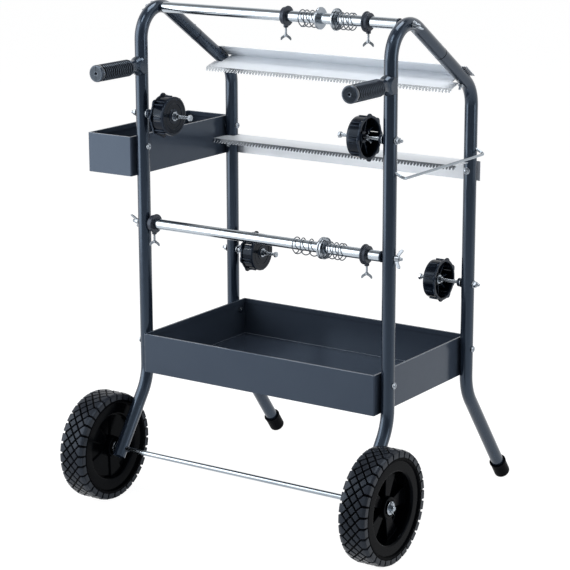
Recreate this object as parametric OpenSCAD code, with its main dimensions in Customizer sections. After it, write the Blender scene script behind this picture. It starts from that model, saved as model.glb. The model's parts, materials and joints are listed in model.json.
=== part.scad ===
// Mobile dispenser cart for masking paper and masking tape.
// Two bent tube side frames on two wheels and two splayed legs carry two roll bars,
// four tape hubs, two toothed cutters, two trays and a side rail.
// X runs along the roll bars, the wheels and handles are on the -Y side, Z is up.
// The modules measure x from the middle between the frames and y from the front posts.
// at_origin() then brings the middle of the whole cart, on the floor, to the origin.

/* [Frame] */
// Distance between the left and right posts, axis to axis
post_gap_x = 526; // [440:1:640]
// Distance between the front and rear posts, axis to axis
post_gap_y = 280; // [270:1:320]
// Outer diameter of the frame tube
tube_d = 24; // [22:0.5:26]
// Wall thickness of the frame tube
tube_wall = 1.5; // [1:0.1:2]
// Height of the centre of the top bend
top_bend_z = 854; // [820:1:900]
// Centreline radius of the two upper bends
top_bend_r = 55; // [45:1:60]
// Slope of the diagonal below the horizontal, degrees
diagonal_angle = 33; // [28:1:38]
// Centreline radius of the leg bends
leg_bend_r = 90; // [70:1:110]
// Forward slope of the front legs from the vertical, degrees
front_leg_angle = 35; // [30:1:38]
// Backward slope of the rear legs from the vertical, degrees
rear_leg_angle = 37; // [32:1:40]
// Distance of the seam between front and rear tube from the front posts
seam_y = 165; // [150:1:180]
// Distance of the rear feet behind the front posts, on the floor
foot_y = 439; // [415:1:450]

/* [Wheels] */
// Outer diameter of the tyres
wheel_d = 203.2; // [190:0.1:210]
// Width of the tyres
tyre_w = 52; // [44:1:56]
// Distance of the wheel's middle plane from the post's axis
wheel_out = 40; // [38:0.5:46]
// Distance of the axle in front of the front posts
axle_y = 82; // [75:1:90]
// Diameter of the axle rod
axle_d = 9.5; // [8:0.5:12]

/* [Handles] */
// Heights of the left and right handles
handle_z = [807, 813]; // [780:1:830]
// Distance of the grip's end in front of the posts
grip_reach = 131; // [120:1:150]
// Distance of the grip's inner end in front of the posts
grip_inner = 36; // [24:1:44]
// Outer diameter of the grip's ribs
grip_d = 30.5; // [28:0.5:36]
// Number of ribs on a grip
grip_ribs = 15; // [10:1:18]

/* [Roll bars] */
// Diameter of the roll bars
bar_d = 19; // [16:0.5:22]
// Distance of the top bar behind the front posts
top_bar_y = 50; // [45:1:55]
// Height of the lower roll bar
mid_bar_z = 517; // [480:1:560]
// Diameter of the clamp collars
collar_d = 31; // [29:0.5:34]
// Diameter of the cups that centre a paper roll
cup_d = 39; // [37:0.5:44]
// Outer diameter of the springs
spring_d = 31; // [29:0.5:32]
// Diameter of the spring wire
spring_wire = 1.8; // [1.4:0.1:2.2]

/* [Tape hubs] */
// Height of the front pair of tape hubs
front_hub_z = 720; // [690:1:740]
// Height of the rear pair of tape hubs
rear_hub_z = 414; // [380:1:440]
// Diameter over the hub's ribs, for a 76 mm tape core
hub_core_d = 75; // [74:0.1:76]
// Distances of the hubs' faces from the middle: front left, front right, rear left, rear right
hub_face_x = [191, 197, 193, 188]; // [180:1:200]
// Distances of the bolts' heads from the middle, in the same order
hub_head_x = [153, 161, 159, 161]; // [150:1:165]

/* [Trays] */
// Height of the large tray's rim
tray_top = 311; // [300:1:330]
// Depth of the trays
tray_depth = 73; // [60:1:80]
// Distance that the large tray stands out in front of the front posts
tray_front = 25; // [20:1:28]
// Height of the small tray's rim
small_tray_top = 677; // [660:1:690]
// Width of the small tray
small_tray_w = 100; // [90:1:120]
// Thickness of the tray sheet
sheet = 1.5; // [1:0.1:2]

/* [Cutters] */
// Width of a cutter's mounting plate
cutter_plate = 36; // [32:1:40]
// Depth of a cutter's flange, without its teeth
cutter_flange = 64; // [58:1:66]
// Length of the bent strip that carries the teeth
tooth_strip = 9; // [7:0.5:11]
// Number of teeth on a cutter
teeth = 80; // [60:1:100]
// Thickness of the cutter sheet
blade_sheet = 1.2; // [1:0.1:2]

/* [Hidden] */
$fn = 48;
eps = 0.01;
half_x = post_gap_x / 2;
tube_r = tube_d / 2;
inner_x = half_x - tube_r;
outer_x = half_x + tube_r;
wheel_r = wheel_d / 2;
wheel_x = half_x + wheel_out;
run_gap = 0.08;
bend_lap = 0.3;
bend_draw = 0.05;
peg_r = 10;

// Side view of the frame, as [y, z] points
front_leg_run = (axle_y - leg_bend_r * (1 - cos(front_leg_angle))) / sin(front_leg_angle);
front_bend_z = wheel_r + leg_bend_r * sin(front_leg_angle) + front_leg_run * cos(front_leg_angle);
front_leg_end = 16;
rear_leg_run = (foot_y - post_gap_y - leg_bend_r * (1 - cos(rear_leg_angle))) / sin(rear_leg_angle);
rear_bend_z = leg_bend_r * sin(rear_leg_angle) + rear_leg_run * cos(rear_leg_angle);
diagonal_dir = [cos(diagonal_angle), -sin(diagonal_angle)];
diagonal_up = [sin(diagonal_angle), cos(diagonal_angle)];
diagonal_top = [top_bend_r, top_bend_z] + top_bend_r * diagonal_up;
corner_z = diagonal_top.y - (post_gap_y - diagonal_top.x) * tan(diagonal_angle);
bend_tangent = top_bend_r * tan((90 - diagonal_angle) / 2);
rear_top_z = corner_z - bend_tangent;
rear_bend_start = [post_gap_y, corner_z] - bend_tangent * diagonal_dir;
seam = diagonal_top + (seam_y - diagonal_top.x) / diagonal_dir.x * diagonal_dir;
top_bar_z = top_bend_z + sqrt(pow(top_bend_r, 2) - pow(top_bend_r - top_bar_y, 2));
rear_leg_dir = [sin(rear_leg_angle), -cos(rear_leg_angle)];
rear_leg_top = [post_gap_y + leg_bend_r * (1 - cos(rear_leg_angle)),
                rear_bend_z - leg_bend_r * sin(rear_leg_angle)];

// Bolt places, as heights or distances
tray_bolt_z = tray_top - 20;
small_bolt_z = small_tray_top - 18;
low_cutter_z = 640;
low_screw_z = low_cutter_z - 15;
rail_z = 664;
rail_drop = 7.5;
rail_out = 28;
rail_d = 5;
bolt_d = 6;
hub_bolt_d = 6;
cutter_screw_d = 5;

// Foot cap: a rubber cap whose rounded lower edge rests on the floor
cap_r = 15;
cap_round = 4;
cap_len = 36;
cap_end_z = cap_round + (cap_r - cap_round) * sin(rear_leg_angle) - cap_round * cos(rear_leg_angle);
cap_end = rear_leg_top + (rear_leg_top.y - cap_end_z) / cos(rear_leg_angle) * rear_leg_dir;

// Bounding box, whose middle is brought to the origin
hub_end = 16;
axle_len = 2 * (wheel_x + hub_end + 9);
small_tray_left = -outer_x - 1 - small_tray_w;
cap_back = cap_end.x + (cap_r - cap_round) * cos(rear_leg_angle) + cap_round * (1 - sin(rear_leg_angle));
centre_x = (small_tray_left + max(axle_len / 2, wheel_x + tyre_w / 2)) / 2;
centre_y = (cap_back - axle_y - wheel_r) / 2;

// Tape hubs: length, radius and thickness of the round wall, length of the inner boss
hub_len = 26.5;
hub_wall_r = hub_core_d / 2 - 2.2;
hub_wall = 2.1;
hub_boss = 14;
// Flange at the hub's open end: radius, thickness and the outline of one of its lobes
hub_flange_r = 38.2;
hub_flange = 3.6;
hub_lobes = 8;
hub_lobe = [[36, -8], [38.5, -4.6], [40.6, -2], [41.1, 0], [40.6, 2], [38.5, 4.6], [36, 8]];

// Places of the fittings along the bars, as distances from the middle of the cart
collar_w = 10;
cup_w = 3.8;
thumb_d = 4;
top_left = [14, 50.5, 88.8];
top_right = [192, 158.5, 125];
mid_left = [-245.2, 71, 127];
mid_right = [223, 172, 135];

// ---- Shared shapes -------------------------------------------------------------------------

// Turns a side view, drawn with x as Y and y as Z, into place at distance x
module side_plane(x = 0) {
    translate([x, 0, 0])
        rotate([90, 0, 90])
            children();
}

// Turns a shape standing on Z so that it points along +X from x
module along_x(x, y, z) {
    translate([x, y, z])
        rotate([0, 90, 0])
            children();
}

// Turns a shape standing on Z so that it points along +Y from y
module along_y(x, y, z) {
    translate([x, y, z])
        rotate([-90, 0, 0])
            children();
}

// Repeats a shape on the left side by mirroring it
module both_sides() {
    children();
    mirror([1, 0, 0])
        children();
}

// Round rod between two points of the side view, lapping a little over the bend at each end
module straight(p, q, r) {
    run = q - p;
    translate([p.x, p.y, 0])
        rotate([0, 0, atan2(run.y, run.x)])
            rotate([0, 90, 0])
                translate([0, 0, -bend_lap])
                    cylinder(r = r, h = norm(run) + 2 * bend_lap);
}

// Bent round rod around a centre of the side view; tube draws in a little where it is bent
module bend(centre, bend_r, start, sweep, r) {
    translate([centre.x, centre.y, 0])
        rotate([0, 0, start])
            rotate_extrude(angle = sweep)
                translate([bend_r, 0])
                    circle(r - bend_draw);
}

module ring(r, wall) {
    difference() {
        circle(r);
        circle(r - wall);
    }
}

// Rectangle with round corners, from its centre
module round_rect(w, d, r) {
    square([w - 2 * r, d], center = true);
    square([w, d - 2 * r], center = true);
    for (x = [-1, 1], y = [-1, 1])
        translate([x * (w / 2 - r), y * (d / 2 - r)])
            circle(r);
}

// Six-sided prism: flats is the distance across the flats
module hexagon(flats, height) {
    cylinder(d = flats / cos(30), h = height, $fn = 6);
}

module washer(r, hole_r, height) {
    linear_extrude(height)
        ring(r, r - hole_r);
}

// Nut on a thread of the given diameter
module nut(flats, thread_d, height) {
    difference() {
        hexagon(flats, height);
        translate([0, 0, -eps])
            cylinder(d = thread_d, h = height + 2 * eps);
    }
}

// Pan head screw or bolt with a domed head, head at the start, pointing along +Z
module pan_bolt(head_r, head_h, d, length) {
    rotate_extrude()
        polygon([[0, 0], [head_r * 0.7, 0], [head_r, head_h * 0.55], [head_r, head_h], [d / 2, head_h],
                 [d / 2, head_h + length], [0, head_h + length]]);
}

// Wing nut with its flat end at 0 and its wings rising along +Z
module wing_nut(bore_d, base_r, base_h, wing_r, wing_h) {
    difference() {
        union() {
            cylinder(r = base_r, h = base_h);
            for (a = [0, 180])
                rotate([90, 0, a])
                    translate([0, 0, -1.1])
                        linear_extrude(2.2)
                            wing_profile(base_r, base_h, wing_r, wing_h);
        }
        translate([0, 0, -eps])
            cylinder(d = bore_d, h = base_h + wing_h);
    }
}

module wing_profile(base_r, base_h, wing_r, wing_h) {
    tip_r = wing_h * 0.22;
    polygon([[base_r * 0.4, 0.4], [base_r, 0.4], [wing_r - tip_r * 0.2, wing_h - 2 * tip_r],
             [wing_r - tip_r * 1.7, wing_h - tip_r * 0.4], [base_r * 0.4, base_h]]);
    translate([wing_r - tip_r, wing_h - tip_r])
        circle(tip_r, $fn = 24);
}

// Outline of a bent sheet: offsets a path of points by half its thickness each way
function unit(v) = v / norm(v);
function left_of(v) = [-v.y, v.x];
function mitre(p, i, d) =
    let (before = i == 0 ? unit(p[1] - p[0]) : unit(p[i] - p[i - 1]),
         after = i == len(p) - 1 ? before : unit(p[i + 1] - p[i]),
         middle = unit(left_of(before) + left_of(after)))
    p[i] + middle * d / (middle * left_of(before));

module sheet_path(points, thickness) {
    count = len(points);
    polygon(concat([for (i = [0 : count - 1]) mitre(points, i, thickness / 2)],
                   [for (i = [count - 1 : -1 : 0]) mitre(points, i, -thickness / 2)]));
}

// ---- Side frames ---------------------------------------------------------------------------

// Solid of the front tube, of radius r: leg, post, top bend and the upper half of the diagonal
// more lengthens both of its ends
module front_tube(r, more = 0) {
    leg_centre = [-leg_bend_r, front_bend_z];
    leg_dir = [-sin(front_leg_angle), -cos(front_leg_angle)];
    leg_top = leg_centre + leg_bend_r * [cos(front_leg_angle), -sin(front_leg_angle)];
    straight(leg_top, leg_top + (front_leg_run + front_leg_end + more) * leg_dir, r);
    bend(leg_centre, leg_bend_r, -front_leg_angle, front_leg_angle, r);
    straight([0, front_bend_z], [0, top_bend_z], r);
    bend([top_bend_r, top_bend_z], top_bend_r, 90 - diagonal_angle, 90 + diagonal_angle, r);
    straight(diagonal_top, seam + more * diagonal_dir, r);
}

// Solid of the rear tube: lower half of the diagonal, bend, post and splayed leg
module rear_tube(r, more = 0) {
    leg_centre = [post_gap_y + leg_bend_r, rear_bend_z];
    straight(seam + (1 - more) * diagonal_dir, rear_bend_start, r);
    bend([post_gap_y - top_bend_r, rear_top_z], top_bend_r, 0, 90 - diagonal_angle, r);
    straight([post_gap_y, rear_bend_z], [post_gap_y, rear_top_z], r);
    bend(leg_centre, leg_bend_r, 180, rear_leg_angle, r);
    straight(rear_leg_top, cap_end - (6 - more) * rear_leg_dir, r);
}

// Cross holes through a tube, along X, at points of the side view
module cross_holes(points, d) {
    for (p = points)
        translate([p.x, p.y, -tube_d])
            cylinder(d = d, h = 2 * tube_d);
}

// Hole for a cutter's screw through a tube, in the side view and at an angle to the Y axis
module cutter_screw_hole(p, angle) {
    translate([p.x, p.y, 0])
        rotate([0, 0, angle])
            rotate([0, 90, 0])
                translate([0, 0, -tube_d])
                    cylinder(d = cutter_screw_d + 0.4, h = 2 * tube_d);
}

module frame_front(side) {
    color("darkslategray")
        side_plane(side * half_x)
            difference() {
                front_tube(tube_r);
                front_tube(tube_r - tube_wall, 1);
                cross_holes([[top_bar_y, top_bar_z], [0, mid_bar_z], [0, tray_bolt_z]], bolt_d + 0.4);
                cross_holes([[0, front_hub_z]], hub_bolt_d + 0.4);
                cross_holes([[-axle_y, wheel_r]], axle_d + 0.4);
                if (side < 0)
                    cross_holes([[0, small_bolt_z]], bolt_d + 0.4);
                if (side > 0)
                    cross_holes([[0, rail_z]], rail_d + 0.6);
            }
}

module frame_rear(side) {
    spigot_r = tube_r - tube_wall - 0.15;
    color("darkslategray")
        side_plane(side * half_x)
            difference() {
                union() {
                    difference() {
                        rear_tube(tube_r);
                        rear_tube(tube_r - tube_wall, 1);
                    }
                    straight(seam - 30 * diagonal_dir, seam + 12 * diagonal_dir, spigot_r);
                    straight(seam + 3 * diagonal_dir, seam + 12 * diagonal_dir, tube_r - tube_wall / 2);
                }
                straight(seam - 31 * diagonal_dir, seam + 13 * diagonal_dir, spigot_r - tube_wall);
                cross_holes([[post_gap_y, tray_bolt_z]], bolt_d + 0.4);
                cross_holes([[post_gap_y, rear_hub_z]], hub_bolt_d + 0.4);
                cutter_screw_hole([post_gap_y, low_screw_z], 0);
                cutter_screw_hole(upper_bolt, 90 - diagonal_angle);
                if (side < 0)
                    cross_holes([[post_gap_y, small_bolt_z]], bolt_d + 0.4);
                if (side > 0)
                    cross_holes([[post_gap_y, rail_z]], rail_d + 0.6);
            }
}

// Small screws that pin the front tubes to the spigots of the rear tubes
module frame_seam_screws() {
    place = seam - 12 * diagonal_dir + (tube_r + 1.4) * diagonal_up;
    color("silver")
        both_sides()
            side_plane(half_x)
                translate([place.x, place.y, 0])
                    rotate([0, 0, -diagonal_angle])
                        rotate([90, 0, 0])
                            pan_bolt(3.6, 1.4, 3.2, tube_wall - 0.2);
}

module foot_caps() {
    color("black")
        both_sides()
            side_plane(half_x)
                translate([cap_end.x, cap_end.y, 0])
                    rotate([0, 0, 90 + rear_leg_angle])
                        rotate([0, 90, 0])
                            foot_cap();
}

// Rubber cap along +Z: rounded end at 0, open mouth at the top
module foot_cap() {
    difference() {
        rotate_extrude()
            union() {
                square([cap_r - cap_round, cap_len]);
                translate([0, cap_round])
                    square([cap_r, cap_len - cap_round - 3]);
                translate([0, cap_len - 4])
                    square([cap_r + 1, 4]);
                translate([cap_r - cap_round, cap_round])
                    circle(cap_round, $fn = 32);
            }
        translate([0, 0, 5.6])
            cylinder(r = tube_r + run_gap, h = cap_len);
    }
}

// ---- Handles -------------------------------------------------------------------------------

// Welded pegs: a peg inside the grip, a short neck and a saddle that spreads over the post
module handle_pegs() {
    color("darkslategray")
        for (side = [0, 1])
            difference() {
                peg((2 * side - 1) * half_x, handle_z[side]);
                translate([(2 * side - 1) * half_x, 0, handle_z[side] - 30])
                    cylinder(r = tube_r, h = 60);
            }
}

module peg(x, z) {
    neck = grip_inner - 0.3;
    along_y(x, -grip_reach + 8, z)
        cylinder(r = peg_r, h = grip_reach - 8);
    intersection() {
        along_y(x, -neck, z)
            rotate_extrude()
                polygon([[0, 0], [peg_r + 0.8, 0], [peg_r + 1, neck - 27], [peg_r + 2, neck - 22],
                         [14.5, neck - 18], [17, neck - 14], [18.2, neck - 10], [18.2, neck], [0, neck]]);
        translate([x - 13, -neck, z - 20])
            cube([26, neck, 40]);
    }
}

// Profile of a grip: flat end, smooth head, ribs, rounded skirt towards the post
function grip_profile(r, root, head, pitch, count, length) =
    concat([[0, 0], [r - 1, 0], [r - 0.2, 1.2], [r - 0.2, head - 2.4], [root, head - 1.6]],
           [for (i = [0 : count - 1], step = [0 : 3])
                [step == 1 || step == 2 ? r : root,
                 head + pitch * i + pitch * [0.1, 0.34, 0.7, 0.94][step]]],
           [[r - 0.8, head + pitch * count + 1], [r - 2.6, length], [0, length]]);

module grips() {
    grip_len = grip_reach - grip_inner;
    head = 11;
    pitch = (grip_len - head - 4) / grip_ribs;
    color("black")
        for (side = [0, 1])
            along_y((2 * side - 1) * half_x, -grip_reach, handle_z[side])
                difference() {
                    rotate_extrude()
                        polygon(grip_profile(grip_d / 2, grip_d / 2 - 1.4, head, pitch, grip_ribs, grip_len));
                    translate([0, 0, 7.9])
                        cylinder(r = peg_r + 0.1, h = grip_len);
                    translate([0, 0, -eps])
                        cylinder(r = 2.5, h = 9);
                }
}

// ---- Axle and wheels -----------------------------------------------------------------------

module axle() {
    color("silver")
        difference() {
            along_x(-axle_len / 2, -axle_y, wheel_r)
                rotate_extrude()
                    polygon([[0, 0], [axle_d / 2 - 1, 0], [axle_d / 2, 1], [axle_d / 2, axle_len - 1],
                             [axle_d / 2 - 1, axle_len], [0, axle_len]]);
            both_sides()
                translate([wheel_x + hub_end + 4.5, -axle_y, wheel_r - axle_d])
                    cylinder(d = 3.2, h = 2 * axle_d);
        }
}

// Washers beside each wheel hub, one against the leg and one under the cotter pin
module axle_washers() {
    color("silver")
        both_sides() {
            along_x(outer_x + 0.1, -axle_y, wheel_r)
                washer(11, axle_d / 2 + 0.15, wheel_out - tube_r - tyre_w / 2 + 0.4);
            along_x(wheel_x + hub_end + 0.5, -axle_y, wheel_r)
                washer(12, axle_d / 2 + 0.15, 1.8);
        }
}

// Split pins through the ends of the axle: a ring eye above, two spread legs below
module cotter_pins() {
    color("silver")
        both_sides()
            translate([wheel_x + hub_end + 4.5, -axle_y, wheel_r]) {
                translate([0, 0, -8])
                    cylinder(d = 2.8, h = 15);
                translate([0, 0, 9.2])
                    rotate([90, 0, 90])
                        rotate_extrude()
                            translate([2.6, 0])
                                circle(1.2, $fn = 24);
                translate([0, -0.6, -6])
                    rotate([35, 0, 0])
                        translate([0, 0, -9])
                            cylinder(d = 1.8, h = 9);
            }
}

// Half section of the tyre as [radius, width] points, from its bead to its tread
function tyre_half() =
    let (half = tyre_w / 2, bead_r = wheel_r - 17)
    [[bead_r - 6, half - 9], [bead_r, half - 4], [bead_r + 1, half - 1.2], [bead_r + 4, half - 0.4],
     [wheel_r - 9, half], [wheel_r - 3.5, half - 1.6], [wheel_r - 0.8, half - 5.5], [wheel_r, half - 9]];

module tyre(side) {
    color("dimgray")
        along_x(side * wheel_x, -axle_y, wheel_r)
            difference() {
                rotate_extrude($fn = 96)
                    polygon(concat(tyre_half(),
                                   [for (i = [7 : -1 : 0]) [tyre_half()[i].x, -tyre_half()[i].y]]));
                for (groove = [-tyre_w / 6, tyre_w / 6])
                    translate([0, 0, groove - 1])
                        difference() {
                            cylinder(r = wheel_r + 1, h = 2);
                            translate([0, 0, -eps])
                                cylinder(r = wheel_r - 2, h = 2 + 2 * eps);
                        }
            }
}

// Spoked rim: barrel, thin web, five wedge spokes on each face and a long hub
module rim(side) {
    half = tyre_w / 2;
    rim_r = wheel_r - 23.1;
    color("dimgray")
        along_x(side * wheel_x, -axle_y, wheel_r)
            mirror([0, 0, side > 0 ? 0 : 1])
                difference() {
                    union() {
                        rotate_extrude($fn = 96)
                            rim_section(rim_r, half);
                        for (i = [0 : 4])
                            rotate([0, 0, 72 * i + 21])
                                spoke(rim_r);
                    }
                    translate([0, 0, -half - 5])
                        cylinder(d = axle_d + 2 * run_gap, h = tyre_w + 10);
                }
}

// Section of the rim: z is along the axle, outwards
module rim_section(rim_r, half) {
    hub_r = 19;
    web_in = -10;
    web_out = -5;
    polygon([[0, -half + 0.6], [hub_r - 1, -half + 0.6], [hub_r, -half + 1.6], [hub_r + 1.2, web_in],
             [58, web_in], [60, web_in - 4], [64, -half + 5], [rim_r, -half + 5], [rim_r, -half + 9],
             [rim_r, half - 9], [rim_r + 5.5, half - 4.5], [rim_r + 4.5, half - 3], [66, half - 3.5],
             [63.5, half - 6], [60, web_out + 2], [58, web_out], [hub_r + 1.2, web_out],
             [hub_r, hub_end - 1], [hub_r - 1, hub_end],
             [14.5, hub_end], [13.5, hub_end - 2.5], [0, hub_end - 2.5]]);
}

// One spoke: a wedge that widens from the hub to the barrel, standing out of the web
module spoke(rim_r) {
    intersection() {
        translate([0, 0, -13])
            linear_extrude(21)
                ring(60.5, 60.5 - 18);
        linear_extrude(60, center = true)
            polygon([[12, -6.5], [62, -17.5], [62, 17.5], [12, 6.5]]);
    }
}

// ---- Roll bars and their fittings ----------------------------------------------------------

bar_half = inner_x - 4;

module roll_bar(y, z) {
    color("gainsboro")
        along_x(-bar_half, y, z)
            linear_extrude(2 * bar_half)
                ring(bar_d / 2, 1.2);
}

module top_bar() {
    roll_bar(top_bar_y, top_bar_z);
}

module mid_bar() {
    roll_bar(0, mid_bar_z);
}

function bar_places() = [[top_bar_y, top_bar_z], [0, mid_bar_z]];

// Plastic plugs that close the bars and carry the studs
module bar_end_plugs() {
    color("black")
        both_sides()
            for (p = bar_places())
                along_x(inner_x, p.x, p.y)
                    rotate([180, 0, 0])
                        difference() {
                            union() {
                                translate([0, 0, 0.3])
                                    cylinder(r = bar_d / 2 + 0.4, h = 3.6);
                                translate([0, 0, 3])
                                    cylinder(r = bar_d / 2 - 1.3, h = 14);
                            }
                            translate([0, 0, -eps])
                                cylinder(d = bolt_d + 0.1, h = 20);
                        }
}

// Threaded studs that run from the plugs through the frame tubes to the wing nuts
module bar_studs() {
    color("silver")
        both_sides()
            for (p = bar_places())
                along_x(inner_x - 15, p.x, p.y)
                    cylinder(d = bolt_d, h = tube_d + 15 + 14);
}

module bar_wing_nut(p, side) {
    color("silver")
        translate([side * (outer_x + 0.4), p.x, p.y])
            rotate([0, side * 90, 0])
                rotate([0, 0, side > 0 ? 60 : 35])
                    wing_nut(bolt_d + 2 * run_gap, 5.5, 8, 17, 13);
}

// Clamp collar: ring with a lip towards its spring and a boss for the thumb screw
// The side view here has its axis along +Z, lip at the far end
module collar(x, p, side) {
    lip = 3;
    color("black")
        translate([x, p.x, p.y])
            rotate([0, side * 90, 0])
                difference() {
                    union() {
                        rotate_extrude()
                            polygon([[bar_d / 2, 0], [collar_d / 2 - 0.6, 0], [collar_d / 2, 0.8],
                                     [collar_d / 2, collar_w - lip - 1], [collar_d / 2 + 2.2, collar_w - lip],
                                     [collar_d / 2 + 2.4, collar_w - 0.6], [collar_d / 2 + 1.6, collar_w],
                                     [bar_d / 2, collar_w]]);
                        boss(side);
                    }
                    translate([0, 0, -eps])
                        cylinder(d = bar_d + 2 * run_gap, h = collar_w + 2 * eps);
                    translate([side * (bar_d / 2 - 2), 0, collar_w / 2 - 0.5])
                        rotate([0, side * 90, 0])
                            cylinder(d = thumb_d + 2 * run_gap, h = 30);
                }
}

module boss(side) {
    translate([side * (bar_d / 2 + 1.5), 0, collar_w / 2 - 0.5])
        rotate([0, side * 90, 0])
            cylinder(r = 4, h = collar_d / 2 + 4.5 - bar_d / 2 - 1.5);
}

// Thumb screw below a collar, with a V of two small wings at its lower end
module thumb_screw(x, p, side) {
    shank = 24;
    color("silver")
        translate([x + side * (collar_w / 2 - 0.5), p.x, p.y - bar_d / 2 - 0.3]) {
            translate([0, 0, -shank])
                cylinder(d = thumb_d, h = shank);
            translate([0, 0, -shank + 2])
                mirror([0, 0, 1])
                    rotate([0, 0, 20])
                        wing_nut(3, 3.4, 4.5, 10, 11);
            translate([0, 0, -shank - 2])
                cylinder(d = 3.4, h = 6);
        }
}

// Cup that centres a roll: flat annular face towards the roll, rim towards the spring
module cup(x, p, side) {
    color("silver")
        translate([x, p.x, p.y])
            rotate([0, side * 90, 0])
                rotate_extrude()
                    polygon([[bar_d / 2 + run_gap, cup_w], [bar_d / 2 + run_gap, cup_w - 1.6],
                             [cup_d / 2 - 4, cup_w - 1.6], [cup_d / 2 - 2, cup_w - 2.4], [cup_d / 2 - 1.8, 0],
                             [cup_d / 2, 0], [cup_d / 2, cup_w - 1], [cup_d / 2 - 1, cup_w]]);
}

// ---- Springs: one tube swept along a helix -------------------------------------------------

spring_turns = 4.5;
spring_steps = 8;
spring_sides = 6;
coil_r = (spring_d - spring_wire) / 2;
// The spring hangs a little lower than the bar, as far as the cup's rim lets it
spring_sag = 1.9;

// Share of the length reached after a number of turns: close coils at both ends
function spring_rise(t, length) =
    let (closed = 0.75, close_pitch = spring_wire + 0.55,
         active = spring_turns - 2 * closed,
         pitch = (length - spring_wire - 2 * closed * close_pitch) / active)
    t < closed ? t * close_pitch
    : t > spring_turns - closed ? length - spring_wire - (spring_turns - t) * close_pitch
    : closed * close_pitch + (t - closed) * pitch;

// Centreline of the wire, with a straight end of one wire diameter at each end
function spring_line(length) =
    let (count = spring_turns * spring_steps,
         helix = [for (i = [0 : count])
                      let (a = 360 * i / spring_steps)
                      [coil_r * cos(a), coil_r * sin(a),
                       spring_wire / 2 + spring_rise(i / spring_steps, length)]],
         first = helix[0] - spring_wire * unit([0, 1, 0]),
         end_a = 360 * spring_turns,
         last = helix[count] + spring_wire * unit([-sin(end_a), cos(end_a), 0]))
    concat([first], helix, [last]);

// Ring of points round the wire at point i of its centreline
function wire_ring(line, i, r) =
    let (before = line[max(i - 1, 0)], after = line[min(i + 1, len(line) - 1)],
         along = unit(after - before),
         side = unit(cross(along, [0, 0, 1])),
         up = cross(side, along))
    [for (k = [0 : spring_sides - 1])
        line[i] + r * (cos(360 * k / spring_sides) * side + sin(360 * k / spring_sides) * up)];

module spring_wire_solid(length) {
    line = spring_line(length);
    rings = len(line);
    n = spring_sides;
    points = [for (i = [0 : rings - 1]) each wire_ring(line, i, spring_wire / 2)];
    walls = [for (i = [0 : rings - 2], k = [0 : n - 1])
                 let (a = i * n + k, b = i * n + (k + 1) % n)
                 each [[a, b, b + n], [a, b + n, a + n]]];
    caps = [for (k = [1 : n - 2]) each [[0, k + 1, k],
                                        [(rings - 1) * n, (rings - 1) * n + k, (rings - 1) * n + k + 1]]];
    polyhedron(points, concat(walls, caps));
}

// Least distance between wire surfaces on neighbouring turns, measured on the centreline points
function spring_gap(length) =
    let (line = spring_line(length), skip = spring_steps - 2)
    min([for (i = [0 : len(line) - 1 - skip], j = [i + skip : len(line) - 1])
             norm(line[i] - line[j])]) - spring_wire;

// Spring between its free end and the cup; fitting is one of the places along the bars
module spring(fitting, p, side) {
    length = abs(fitting[2] - fitting[1]) + 1.5;
    echo(least_gap_between_turns = spring_gap(length));
    color("silver")
        translate([fitting[1], p.x, p.y - spring_sag])
            rotate([0, side * 90, 0])
                spring_wire_solid(length);
}

// ---- Tape hubs -----------------------------------------------------------------------------

// Hollow hub along +Z: face at 0, lobed flange at the open end towards the post
module tape_hub_body() {
    difference() {
        union() {
            rotate_extrude($fn = 96)
                hub_section();
            translate([0, 0, hub_len - hub_flange])
                linear_extrude(hub_flange)
                    flange_outline();
            for (i = [0 : 3])
                rotate([0, 0, 90 * i + 45])
                    rib_pair();
            for (i = [0 : 3])
                rotate([0, 0, 90 * i])
                    finger_hook();
            for (i = [0 : 7])
                rotate([0, 0, 45 * i + 22.5])
                    translate([10, -0.9, 2])
                        cube([hub_wall_r - 10.8, 1.8, hub_boss - 3]);
        }
        for (i = [0 : 3])
            rotate([0, 0, 90 * i])
                finger_slots();
        translate([0, 0, -eps])
            cylinder(d = hub_bolt_d + 2 * run_gap, h = 30);
    }
}

// Round flange with a lobe every eighth of a turn, open in the middle
module flange_outline() {
    difference() {
        union() {
            circle(hub_flange_r, $fn = 96);
            for (i = [0 : hub_lobes - 1])
                rotate([0, 0, 360 * i / hub_lobes])
                    polygon(hub_lobe);
        }
        circle(hub_wall_r - hub_wall);
    }
}

// Half section of the hub: ringed face, boss, round wall
module hub_section() {
    polygon([[0, 0], [14, 0], [14.6, 1], [23, 1], [23.6, 0.2], [31, 0.2], [31.6, 0], [hub_wall_r - 0.8, 0],
             [hub_wall_r, 0.8], [hub_wall_r, hub_len], [hub_wall_r - hub_wall, hub_len],
             [hub_wall_r - hub_wall, 3],
             [11, 3], [10.4, hub_boss], [0, hub_boss]]);
}

// Two round-backed ribs that grip the tape core
module rib_pair() {
    intersection() {
        translate([0, 0, 3])
            linear_extrude(hub_len - hub_flange - 2)
                ring(hub_core_d / 2, 3);
        for (s = [-1, 1])
            translate([hub_wall_r, s * 3.4, hub_len / 2])
                cube([10, 2.2, hub_len], center = true);
    }
}

// Raised bar on the end of each spring finger
module finger_hook() {
    intersection() {
        translate([0, 0, 4])
            linear_extrude(15)
                ring(hub_core_d / 2 - 0.6, 3);
        translate([hub_wall_r, 0, hub_len / 2])
            cube([10, 3, hub_len], center = true);
    }
}

// Two slots that free a spring finger from the wall
module finger_slots() {
    for (s = [-1, 1])
        translate([hub_wall_r - 1.5, s * 4.6, 13.5])
            cube([8, 1.8, 16], center = true);
}

// A hub's place is [-1 left or 1 right, 0 front or 1 rear]
function hub_places() = [for (x = [-1, 1], y = [0, 1]) [x, y]];
function hub_index(place) = (place.x + 1) / 2 + 2 * place.y;
function hub_face(place) = hub_face_x[hub_index(place)];
function hub_head(place) = hub_head_x[hub_index(place)];

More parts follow.
